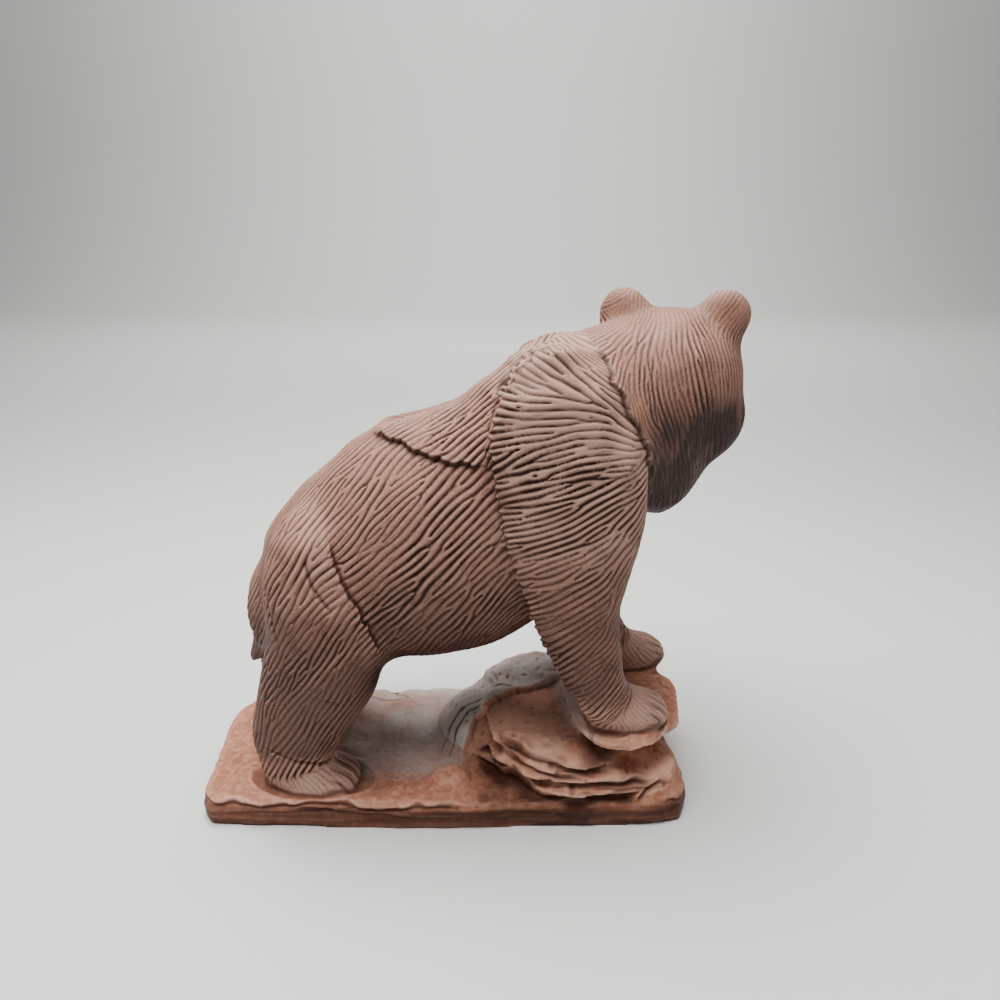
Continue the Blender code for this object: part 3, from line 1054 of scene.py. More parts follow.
    def settle(self, edges: Array, joins: tuple[Array, Array, Array], turns: Array) -> Array:
        """Lets grooves end and fork where they are too far apart or too close.

        Args:
            edges: Pairs of corners.
            joins: What join returns.
            turns: Turns at each corner.

        Returns:
            Phase at each corner, on the unit circle.
        """
        same, step, weight = joins
        i, j = edges.T
        index = edges.T.ravel()
        count = len(turns)
        stretch = np.abs(turns[i] - same * turns[j] - step) * weight
        strain = np.bincount(index, weights=np.tile(stretch, 2), minlength=count)
        strain /= np.bincount(index, weights=np.tile(weight * np.abs(step), 2), minlength=count) + 1e-6
        shaken = ease(strain, 0.42, 0.60) * np.random.default_rng(7).random(count)
        phase = np.exp(2j * math.pi * (turns + shaken))
        to_i = weight * np.exp(2j * math.pi * step)
        to_j = weight * np.exp(-2j * math.pi * same * step)
        mirrored = same < 0
        for _ in range(self.size.settle_rounds):
            from_j, from_i = phase[j], phase[i]
            from_j[mirrored] = from_j[mirrored].conj()
            from_i[mirrored] = from_i[mirrored].conj()
            pull = np.concatenate([to_i * from_j, to_j * from_i])
            real = np.bincount(index, weights=pull.real, minlength=count)
            imaginary = np.bincount(index, weights=pull.imag, minlength=count)
            phase = real + 1j * imaginary + 0.6 * phase
            phase /= np.maximum(np.abs(phase), 1e-9)
        return phase

    def lay(self, skin: Skin) -> Fur:
        """Lays evenly spaced grooves over a skin.

        Args:
            skin: The coarse skin.

        Returns:
            The lie of the coat on it.
        """
        normals = skin.normals()
        along = self.directions(skin.points, normals)
        across = np.cross(normals, along)
        spacing = self.spacings(skin.points)
        edges, _ = skin.edges()
        joins = self.join(skin, across, along, spacing)
        start = np.sum(skin.points * across, axis=1) / spacing
        counted = self.solve(edges, joins, start)
        phase = np.angle(self.settle(edges, joins, counted)) / math.tau
        return Fur(across, spacing, phase + np.round(counted - phase))

    def carry(self, coarse: Skin, fur: Fur, fine: Skin, parents: Array) -> tuple[Array, Array, Array]:
        """Carries the grooves over to a finer skin.

        Args:
            coarse: Skin that the coat was laid on.
            fur: The coat's lie on it.
            fine: The finer skin.
            parents: Four coarse corners for each fine one.

        Returns:
            Turns at each fine corner, how clear they are from 0 to 1, and the spacing.
        """
        first = fur.across[parents[:, 0]]
        spacing = fur.spacing[parents].mean(axis=1)
        total = np.zeros(len(parents), complex)
        nearest = np.zeros(len(parents))
        for k in range(4):
            parent = parents[:, k]
            across = fur.across[parent]
            same = np.where(np.sum(across * first, axis=1) < 0, -1.0, 1.0)
            offset = np.sum((fine.points - coarse.points[parent]) * across, axis=1)
            local = same * (fur.turns[parent] + offset / fur.spacing[parent])
            total += np.exp(2j * math.pi * local)
            if k == 0:
                nearest = local
        phase = np.angle(total) / math.tau
        return phase + np.round(nearest - phase), ease(np.abs(total) / 4, 0.35, 0.9), spacing

    def strength(self, points: Array) -> Array:
        """Works out how deeply the gouge cuts.

        Args:
            points: Places.

        Returns:
            Shares of the full depth.
        """
        size = self.size
        share = ease(self.anatomy.bear_depth(points), 0.2, 2.2)
        share *= 0.80 + 0.28 * rough(points, 8, 21) + 0.12 * rough(points, 3, 22)
        share *= 1 - size.spared_head * ease(self.anatomy.head_depth(points), -2, 4)
        share *= 1 - size.spared_ears * ease(points[:, 2], 214, 222)
        share *= 1 - size.spared_paws * self.anatomy.paw_share(points)
        ahead, beside, _ = head_axes(points).T
        share *= 1 - size.spared_muzzle * ease(ahead, 40, 52) * ease(40 - np.abs(beside), 0, 10)
        tail = ease(-84.0 - points[:, 0], 0, 5) * within(points[:, 2], 30, 40, 72, 8)
        share *= 1 - size.spared_tail * tail * ease(14 - np.abs(points[:, 1]), 0, 4)
        return np.clip(share, 0, 1.2)

    def cut(self, coarse: Skin, fur: Fur, fine: Skin, parents: Array) -> tuple[Array, Array]:
        """Cuts the grooves into the finer skin.

        Args:
            coarse: Skin that the coat was laid on.
            fur: The coat's lie on it.
            fine: The finer skin, which is changed.
            parents: Four coarse corners for each fine one.

        Returns:
            Depth of the groove at each corner, from 0 on a ridge to 1 at the bottom, and the tone of
            each ridge from -1 to 1.
        """
        turns, clear, spacing = self.carry(coarse, fur, fine, parents)
        number = np.round(turns)
        away = np.abs(turns - number) * 2
        blank = np.zeros(len(turns), np.int64)
        own = lattice_value(number.astype(np.int64), blank, blank, 5)
        ridge = lattice_value(np.floor(turns).astype(np.int64), blank, blank, 6)
        width = self.size.width * (1 + 0.22 * own)
        groove = np.clip(1 - away / width, 0, 1) ** 1.2
        strength = self.strength(fine.points)
        depth = groove * strength * clear * (0.80 + 0.25 * own)
        patch = ease(rough(fine.points, 7, 23, 2), 0.30, 0.7)
        split = np.exp(-(((1 - away) / 0.20) ** 2)) * patch * strength
        depth = np.maximum(depth, self.size.split * split)
        crown = self.size.crown * strength * ease(away, 0.5, 1.0) * (1 + 0.8 * ridge)
        shift = (crown - depth) * spacing * self.size.depth
        fine.points += fine.normals() * shift[:, None]
        return depth, ridge * strength


@dataclass(frozen=True)
class CoatEdges:
    """Sharpens the stepped edges of the coat and makes the fine cuts across it.

    Attributes:
        blur: How far the solid's edges were softened before.
        reach: How far from an edge the form is changed.
        crevice_place: How far below the edge the painted shade of its crevice lies.
        crevice_width: Width of that painted shade.
        cut_width: Width of a fine cut.
    """

    blur: float
    reach: float = 16.0
    crevice_place: float = 0.7
    crevice_width: float = 1.1
    cut_width: float = 0.8

    def cut(self, skin: Skin, anatomy: Anatomy) -> Array:
        """Sharpens the edges.

        Args:
            skin: The fine skin, which is changed.
            anatomy: Tells where the bear is.

        Returns:
            Painted shade at each corner from 0 to 1, in the crevice under each step and in the fine cuts.
        """
        points, normals = skin.points, skin.normals()
        places = points[:, [0, 2]]
        side = np.where(points[:, 1] < 0, -1.0, 1.0)
        outer = np.clip(normals[:, 1] * side * 3, 0, 1) * ease(anatomy.bear_depth(points), 0, 2)
        shift = np.zeros(len(points))
        crevice = np.zeros(len(points))
        for order, step in enumerate(STEPS):
            left, along = beside_line(places, step.line)
            wave = np.sin(math.tau * (along / step.pitch + 0.5 * rough(points, 11, 30 + order)))
            left = left + step.tuft * wave + 0.6 * rough(points, 4.0, 40 + order)
            ends = within(along, 0.5, 7, length_of(step.line) - 0.5, 8.5)
            near = outer * ends * ease(self.reach - np.abs(left), 0, 6)
            if step is RUFF:
                near *= points[:, 1] < 0
            sharp = ease(left, -0.45, 0.45)
            soft = 1 / (1 + np.exp(-1.7 * left / self.blur))
            shift += near * step.height * (sharp - soft)
            # Painted shade in the crevice just under the raised edge.
            gap = (left + self.crevice_place) / self.crevice_width
            crevice = np.maximum(crevice, near * np.exp(-(gap**2)))
        for line, depth in CUTS:
            left, along = beside_line(places, line)
            left = left + 0.5 * rough(points, 5, 50)
            ends = within(along, 0, 4, length_of(line), 4)
            groove = outer * ends * np.exp(-((left / self.cut_width) ** 2))
            shift -= depth * groove
            crevice = np.maximum(crevice, 0.7 * groove)
        skin.points = points + normals * shift[:, None]
        return crevice


@dataclass(frozen=True)
class Details:
    """The face, the toes and the line where the feet meet the rock.

    Places on the head are (ahead, beside, up) from its middle. An eye stands in a hollow socket.
    """

    contact_width: float = 0.9
    contact_depth: float = 0.8
    toes: float = 2.6
    toe_width: float = 0.75
    toe_depth: float = 1.3
    eye: tuple[float, float, float] = (36, 13, 1)
    socket_radius: float = 5.2
    socket_depth: float = 1.8
    eye_radius: float = 2.4
    eye_height: float = 2.3
    lid_radius: float = 2.9
    nostril: tuple[float, float, float] = (62, 4.2, -12.5)
    nostril_radius: float = 1.9
    nostril_depth: float = 1.6
    mouth: tuple[float, float] = (50, -19.5)
    mouth_slope: float = 0.08
    lip_width: float = 0.8
    lip_depth: float = 1.0

    def carve(self, skin: Skin, anatomy: Anatomy) -> Array:
        """Carves them.

        Args:
            skin: The fine skin, which is changed.
            anatomy: Tells where the paws are.

        Returns:
            Darkness at each corner from 0 to 1: painted shade along the line where the feet meet the rock
                and in the toe gaps, and the face's darkness.
        """
        points, normals = skin.points, skin.normals()
        depth = anatomy.bear_depth(points)
        contact = np.exp(-((depth / self.contact_width) ** 2)) * ease(52 - points[:, 2], 0, 3)
        shift = -self.contact_depth * contact
        # Painted shade along the line where the feet meet the rock.
        dark = 0.8 * contact
        for paw in PAWS:
            toes = self.toe_gaps(points, paw, anatomy)
            shift -= self.toe_depth * toes
            # Painted shade in the gaps between the toes.
            dark = np.maximum(dark, 0.8 * toes)
        face_shift, face_dark = self.face(points)
        skin.points = points + normals * (shift + face_shift)[:, None]
        return np.maximum(dark, face_dark)

    def toe_gaps(self, points: Array, paw: Paw, anatomy: Anatomy) -> Array:
        """Finds the gaps between a paw's toes.

        Args:
            points: Places.
            paw: The paw.
            anatomy: Tells where the paws are.

        Returns:
            1 in the middle of a gap and 0 off it.
        """
        ahead, beside = paw.local(points)
        inside = ease(anatomy.paw_depth(points, paw, 1.15), -1, 1)
        front = ease(ahead, paw.half_length * 0.35, paw.half_length * 0.85)
        toe = paw.half_width / self.toes
        gap = np.abs((beside / toe + 0.5) % 1 - 0.5) * toe
        edge = ease(paw.half_width * 0.92 - np.abs(beside), 0, 2)
        return np.exp(-((gap / self.toe_width) ** 2)) * inside * front * edge

    def face(self, points: Array) -> tuple[Array, Array]:
        """Works out the eyes, the nostrils, the mouth and the nose pad.

        Args:
            points: Places.

        Returns:
            Shift along the normal, and darkness from 0 to 1: painted shade round the eyes, in the nostrils
            and along the mouth, and the dark nose pad.
        """
        ahead, beside, up = head_axes(points).T
        shift = np.zeros(len(points))
        dark = np.zeros(len(points))
        eye_x, eye_y, eye_z = self.eye
        nose_x, nose_y, nose_z = self.nostril
        for sign in (-1, 1):
            eye = np.sqrt((ahead - eye_x) ** 2 + (beside - sign * eye_y) ** 2 + (up - eye_z) ** 2)
            shift -= self.socket_depth * np.exp(-((eye / self.socket_radius) ** 2))
            shift += self.eye_height * np.exp(-((eye / self.eye_radius) ** 4))
            dark = np.maximum(dark, np.exp(-(((eye - self.lid_radius) / 0.9) ** 2)))
            across = (beside - sign * nose_y) / 0.8
            nostril = np.sqrt((ahead - nose_x) ** 2 + across**2 + (up - nose_z) ** 2)
            pit = np.exp(-((nostril / self.nostril_radius) ** 2))
            shift -= self.nostril_depth * pit
            dark = np.maximum(dark, pit)
        corner, level = self.mouth
        mouth = np.abs(up - level - self.mouth_slope * (ahead - corner))
        lips = np.exp(-((mouth / self.lip_width) ** 2)) * ease(ahead, 34, 42)
        shift -= self.lip_depth * lips
        pad = ease(ahead, 54.5, 56.5) * ease(up, -17.5, -16)
        return shift, np.maximum.reduce([dark, 0.8 * lips, 0.75 * pad])


def behind_rim(points: Array) -> Array:
    """Returns how far each place lies behind the rim of the boulder's hollow."""
    across, depth = zip(*HOLLOW_RIM)
    return points[:, 1] - np.interp(points[:, 0], across, depth)


def bowl_share(points: Array) -> Array:
    """Finds the smooth hollow in the boulder's right face.

    Args:
        points: Places.

    Returns:
        1 in the hollow and 0 off it.
    """
    x, y, z = points.T
    share = ease(-behind_rim(points), -0.4, 2.6) * ease(y, -31, -22)
    return share * within(x, 5, 12, 68, 12) * ease(z, 0, 4)


@dataclass(frozen=True)
class RockWork:
    """Beds, chips, tool marks and pits of the rock.

    Attributes:
        bed_pitch: Height of a bed in the boulder's far side.
        bed_slope: How much the beds fall per millimetre along X.
        bed_wander: How far they wander up and down.
        joint_width: Width of the joint between two beds.
        joint_depth: Its depth.
        facet: Depth of the broad cuts, and so on for the finer marks below it.
        notch: Place of the notch in the slab's back edge.
        notch_depth: Its depth.
        crease_width: Width of a crease or crack.
        crease_depth: Its depth.
        raised_fade: How far above an edge its bed stands out.
        sunk_fade: How far below an edge the rock is hollowed.
    """

    bed_pitch: float = 5.2
    bed_slope: float = 0.12
    bed_wander: float = 4.0
    joint_width: float = 0.75
    joint_depth: float = 1.2
    facet: float = 2.2
    chip: float = 1.3
    streak: float = 0.42
    boulder_mounds: float = 0.45
    slab_mounds: float = 0.75
    pit: float = 0.35
    grain: float = 0.14
    lip: float = 1.3
    band: float = 0.9
    ridge_pit: float = 0.8
    notch: tuple[float, float] = (-35, 46)
    notch_depth: float = 2.6
    crease_width: float = 0.7
    crease_depth: float = 1.3
    raised_fade: float = 4.5
    sunk_fade: float = 2.6

    def carve(self, skin: Skin, anatomy: Anatomy) -> Array:
        """Carves them.

        Args:
            skin: The fine skin, which is changed.
            anatomy: Tells where the rock is.

        Returns:
            Darkness at each corner from 0 to 1: dark joints, cracks, pits and the fine bands' hollows, and
                painted shade under the beds.
        """
        points, normals = skin.points, skin.normals()
        x, y, z = points.T
        rock = ease(-anatomy.bear_depth(points), 0.3, 2.0)
        upright = np.clip(1 - np.abs(normals[:, 2]) * 1.1, 0, 1)
        boulder = ease(x, 2, 20) * ease(z, 0.5, 3)
        slab = 1 - boulder
        shift, crevice = self.shelves(points, normals)
        bedded, joint = self.far_beds(points, upright, boulder)
        marked, pits, band = self.tool_marks(points, upright, boulder)
        shift += bedded + marked
        crevice = np.maximum(crevice, 0.8 * ease(-band, 0.12, 0.4))
        shift -= HOLLOW_DEPTH * bowl_share(points)
        ridge = ease(behind_rim(points), -0.5, 1.0) * ease(z, 3, 9) * within(x, -10, 0, 80, 12)
        pocks = ease(rough(points, 3.4, 72, 2), 0.5, 1.0)
        shift += ridge * (rough(points, 9, 71, 3) - self.ridge_pit * pocks)
        for order, line in enumerate(CREASES):
            left, along = beside_line(points[:, :2], line)
            left = left + rough(points, 7, 73 + order, 2)
            ends = within(along, 0, 4, length_of(line), 4)
            crease = ends * np.maximum(ridge, 0.5 * slab) * np.exp(-((left / self.crease_width) ** 2))
            shift -= self.crease_depth * crease
            crevice = np.maximum(crevice, crease)
        notch = np.hypot((x - self.notch[0]) / 4.5, (y - self.notch[1]) / 9.0)
        shift -= self.notch_depth * np.exp(-(notch**2)) * slab
        floor = ease(z + BASE_THICKNESS, 0.0, 2.5)
        skin.points = points + normals * (shift * rock * floor)[:, None]
        return np.clip(np.maximum(joint, crevice) * rock + 0.4 * pits * rock, 0, 1)

    def far_beds(self, points: Array, upright: Array, boulder: Array) -> tuple[Array, Array]:
        """Works out the thin beds of the boulder's far side.

        Args:
            points: Places.
            upright: How steep the skin is, from 0 to 1.
            boulder: 1 on the boulder and 0 on the slab.

        Returns:
            Shift along the normal, and 1 in a joint between two beds.
        """
        x, y, z = points.T
        back = boulder * ease(y, -24, -4)
        level = (z + self.bed_slope * x + self.bed_wander * rough(points, (36, 36, 60), 61)) / self.bed_pitch
        layer = level - np.floor(level)
        gap = np.minimum(layer, 1 - layer) * self.bed_pitch / self.joint_width
        joint = np.exp(-(gap**2)) * ease(rough(points, (26, 26, 6), 62), -0.45, 0.25) * upright * back
        return (layer - 0.5) * upright * back - self.joint_depth * joint, joint

    def tool_marks(self, points: Array, upright: Array, boulder: Array) -> tuple[Array, Array, Array]:
        """Works out cuts, chips, streaks, pits and the slab's uneven edge.

        Args:
            points: Places.
            upright: How steep the skin is, from 0 to 1.
            boulder: 1 on the boulder and 0 on the slab.

        Returns:
            Shift along the normal, how deep the pits are, and the fine bands low on the boulder.
        """
        z = points[:, 2]
        slab = 1 - boulder
        facet = np.abs(rough(points, (16, 16, 9), 64)) - 0.35
        chip = np.abs(rough(points, (7, 7, 4.5), 69)) - 0.3
        streak = rough(points, (26, 26, 1.6), 63, 2) * upright
        mounds = (self.boulder_mounds * boulder + self.slab_mounds * slab) * rough(points, 17, 65, 2)
        pits = ease(rough(points, 3.4, 66), 0.50, 0.85) * (0.3 + 0.7 * boulder)
        grain = rough(points, 2.2, 67, 2)
        band = rough(points, (30, 30, 2.4), 74, 2) * upright * boulder * ease(14 - z, 0, 6)
        lip = np.exp(-(((z + 2.2) / 2.2) ** 2)) * upright
        wave = rough(points, (13, 13, 40), 68) + 0.5 * rough(points, (5, 5, 20), 70)
        shift = mounds + self.streak * streak - self.pit * pits + self.grain * grain
        shift -= (self.facet * facet + self.chip * chip) * (0.3 + 0.7 * upright) * boulder
        return shift + self.lip * lip * wave + self.band * band, pits, band

    def shelves(self, points: Array, normals: Array) -> tuple[Array, Array]:
        """Cuts the beds that stand out of the boulder's right face.

        Args:
            points: Places.
            normals: Skin's normals there.

        Returns:
            Shift along the normal, and painted shade under each bed from 0 to 1.
        """
        near = ease(-points[:, 1], 4, 16) * ease(-normals[:, 1], -0.35, 0.15)
        places = points[:, [0, 2]]
        shift = np.zeros(len(points))
        crevice = np.zeros(len(points))
        for order, shelf in enumerate(SHELVES):
            left, along = beside_line(places, shelf.line)
            left = left + shelf.tuft * rough(points, (shelf.pitch, shelf.pitch, 30), 90 + order, 2)
            ends = within(along, 0, 8, length_of(shelf.line), 10)
            raised = ease(left, -0.5, 0.5) * np.exp(-np.clip(left, 0, None) / self.raised_fade)
            sunk = ease(-left, -0.5, 0.5) * np.exp(-np.clip(-left, 0, None) / self.sunk_fade)
            shift += near * ends * shelf.height * (0.45 * raised - 1.05 * sunk)
            # Painted shade just under the bed's edge.
            depth = (left + 0.5 * shelf.height) / (0.62 * shelf.height)
            crevice = np.maximum(crevice, near * ends * np.exp(-(depth**2)))
        return shift, crevice


@dataclass(frozen=True)
class PatinaAndShadingPlaces:
    """Where the casting's colours lie, with its painted shade and painted light.

    A pair is for ease: where a colour starts and where it is full. Four values are for within: start,
    full, end, and the length over which it fades before the end.
    """

    slab_dust_x: Span = (-66, -42, 12, 10)
    slab_dust_y: Rise = (-38, -20)
    slab_dust_z: Rise = (-5, -2.5)
    slab_dust: float = 0.68
    ridge_dust_x: Span = (-9, -2, 86, 12)
    ridge_dust_z: Rise = (2, 7)
    wrist_dust_x: Span = (42, 56, 76, 12)
    wrist_dust_z: Rise = (20, 25)
    wrist_dust: float = 0.6
    ruff_stain_top: float = 198
    ruff_stain_x: Rise = (84, 94)
    ruff_stain_side: float = 40
    groin_stain_x: Span = (-40, -30, -4, 14)
    groin_stain_z: Span = (50, 60, 74, 10)
    rubbed_x: Rise = (2, 14)
    rubbed_z: Rise = (1, 6)
    rubbed: float = 0.65
    bowl: float = 0.6
    mantle_x: Rise = (22, 34)
    mantle_z: Rise = (104, 140)
    mantle: float = 0.8
    panel_along: Rise = (4, 14)
    panel_across: Span = (0, 1.5, 12, 2.5)
    panel: float = 0.4
    edge_wear: float = 2.2
    # Painted shade: the slab's front, the recess, the ledge's shadow, the belly, the legs and the hollows.
    slab_front: float = 0.84
    recess_x: Span = (0, 40, 106, 30)
    ledge_shade_x: Span = (60, 74, 116, 4)
    ledge_shade_z: Span = (11, 16, 23, 1.5)
    ledge_shade: float = 0.85
    belly_z: Rise = (45, 60)
    legs_top: float = 150
    legs: float = 0.72
    hollow_shade_and_wash: float = 1.6


class PatinaAndShading:
    """Works out where the casting is dusty, stained and rubbed pale, and where shade and light are painted
    on.
    """

    def __init__(self, places: PatinaAndShadingPlaces, skin: Skin, anatomy: Anatomy) -> None:
        """Reads where rock and bear lie.

        Args:
            places: Where the colours lie.
            skin: The fine skin.
            anatomy: Tells bear from rock.
        """
        self.places = places
        self.points = skin.points
        self.normals = skin.normals()
        self.rock = 1 - ease(anatomy.bear_depth(skin.points), -0.3, 0.5)
        self.head = ease(anatomy.head_depth(skin.points), -1, 2)
        self.paws = anatomy.paw_share(skin.points) * (1 - self.rock)
        self.hollow = self.measure_hollow(skin)

    def measure_hollow(self, skin: Skin) -> Array:
        """Measures how far each corner lies below its neighbourhood.

        Args:
            skin: The fine skin.

        Returns:
            Depths in millimetres.
        """
        soft = Skin(skin.points.copy(), skin.quads)
        soft.smooth(np.ones(len(skin.points)), 10)
        return np.sum((soft.points - skin.points) * self.normals, axis=1)

    def dust(self) -> Array:
        """Works out how grey with dust the rock is.

        Returns:
            Shares, from 0 to 1.
        """
        points, normals, places = self.points, self.normals, self.places
        x, y, z = points.T
        patchy = 0.9 + 0.35 * rough(points, 15, 81, 2)
        slab = within(x, *places.slab_dust_x) * ease(y, *places.slab_dust_y)
        slab *= ease(z, *places.slab_dust_z) * ease(8 - z, 0, 4)
        slab *= np.clip(normals[:, 2] * 1.6 + 0.1, 0, 1)
        ridge = ease(behind_rim(points), -1.0, 1.2)
        ridge *= within(x, *places.ridge_dust_x) * ease(z, *places.ridge_dust_z)
        wrist = within(x, *places.wrist_dust_x) * ease(z, *places.wrist_dust_z)
        dusty = np.maximum.reduce([slab * places.slab_dust, ridge, wrist * places.wrist_dust])
        return np.clip(self.rock * dusty * patchy, 0, 1)

    def stain(self) -> Array:
        """Works out how dark the ruff and the groin are stained.

        Returns:
            Shares, from 0 to 1.
        """
        points, places = self.points, self.places
        x, y, z = points.T
        patchy = 0.8 + 0.5 * rough(points, (10, 10, 22), 82, 2)
        ruff = self.head * ease(places.ruff_stain_top - z, 0, 26) * ease(x, *places.ruff_stain_x)
        ruff *= ease(places.ruff_stain_side - y, 0, 25)
        ruff *= 1.15 + 0.4 * rough(points, (2.2, 6, 14), 85, 2)
        groin = within(x, *places.groin_stain_x) * within(z, *places.groin_stain_z)
        return np.clip(np.maximum(ruff, groin) * patchy, 0, 1) * (1 - self.rock)

    def wear_and_painted_light(self) -> Array:
        """Works out how pale the edges and the rubbed places are, and the painted light that makes the paws
        pale all over.

        Returns:
            Shares, from 0 to 1.
        """
        places = self.places
        x, y, z = self.points.T
        rubbed = self.rock * ease(-20 - y, 0, 10) * ease(x, *places.rubbed_x) * ease(z, *places.rubbed_z)
        rubbed *= np.clip(0.7 + 0.9 * rough(self.points, 9, 86, 3), 0, 1.3)
        mantle = (1 - self.rock) * (1 - self.head) * ease(-y, -20, 0)
        mantle *= ease(z, *places.mantle_z) * ease(x, *places.mantle_x)
        left, along = beside_line(self.points[:, [0, 2]], HAUNCH.line)
        panel = within(left, *places.panel_across) * ease(-y, 0, 10) * ease(along, *places.panel_along)
        bowl = self.rock * bowl_share(self.points)
        edges = -self.hollow * places.edge_wear * (1 - 0.75 * self.rock * ease(-z, 1.5, 4.0))
        worn_and_lit = [
            # Painted light on the paws: they are painted pale all over.
            self.paws,
            places.rubbed * rubbed,
            places.bowl * bowl,
            places.mantle * mantle,
            places.panel * panel,
            edges,
        ]
        return np.clip(np.maximum.reduce(worn_and_lit), 0, 1)

    def painted_shade_and_dirt(self, crevices: Array) -> Array:
        """Works out how much dark colour is painted on: mostly painted shade, with some dark wash in the
        hollows and crevices.

        Args:
            crevices: Darkness of the carved crevices: painted shade, with dark joints, cracks and pits on
                the rock.

        Returns:
            Shares, from 0 to 1.
        """
        rock = self.rock * self.rock_painted_shade()
        bear = (1 - self.rock) * self.bear_shade()
        # Painted shade in the hollows, with some dark wash, halved on the paws.
        hollow = self.hollow * self.places.hollow_shade_and_wash * (1 - 0.5 * self.paws)
        return np.clip(np.maximum.reduce([hollow, crevices, rock, bear]), 0, 1)

    def rock_painted_shade(self) -> Array:
        """Works out the painted shade on the rock: the slab's front in streaks, the low steep faces, the
        recess above the slab and the shadow under the ledge.

        Returns:
            Shares, about 0 to 1.
        """
        points, places = self.points, self.places
        x, y, z = points.T
        upright = ease(1 - np.abs(self.normals[:, 2]), 0.3, 0.9)
        sheer = np.maximum(upright, ease(-z, 2.5, 4.5))
        # Painted shade on the slab's steep front, in streaks.
        front = places.slab_front * ease(-z, 0.3, 2.6) * sheer
        front *= 1.0 + 0.3 * rough(points, (30, 30, 2.4), 83, 2)
        # Painted shade on the low steep faces, darker towards the bottom.
        low = ease(22 - z, 0, 14) * upright * (0.10 + 0.25 * rough(points, (20, 20, 8), 84, 2))
        # Painted shadow in the recess above the slab's front.
        recess = within(x, *places.recess_x) * ease(-44 - y, 0, 3) * ease(3 - z, 0, 2)
        recess *= 0.85 + 0.45 * rough(points, (16, 16, 3), 87, 2)
        shade = within(x, *places.ledge_shade_x) * within(z, *places.ledge_shade_z) * ease(-16 - y, 0, 8)
        return np.maximum.reduce([front, low, recess, places.ledge_shade * shade])

    def bear_shade(self) -> Array:
        """Works out the painted shade that darkens the belly and the legs.

        Returns:
            Shares, from 0 to 1.
        """
        places = self.places
        x, _, z = self.points.T
        belly = ease(-self.normals[:, 2], 0.0, 0.6) * ease(z, *places.belly_z)
        legs = places.legs * ease(places.legs_top - z, 0, 80) * ease(1 - self.normals[:, 2], 0.5, 1.0)
        above_foot = np.where(x > 0, z - 32, z)
        legs *= 1 - ease(24 - above_foot, 0, 12)
        return np.maximum(belly, legs)


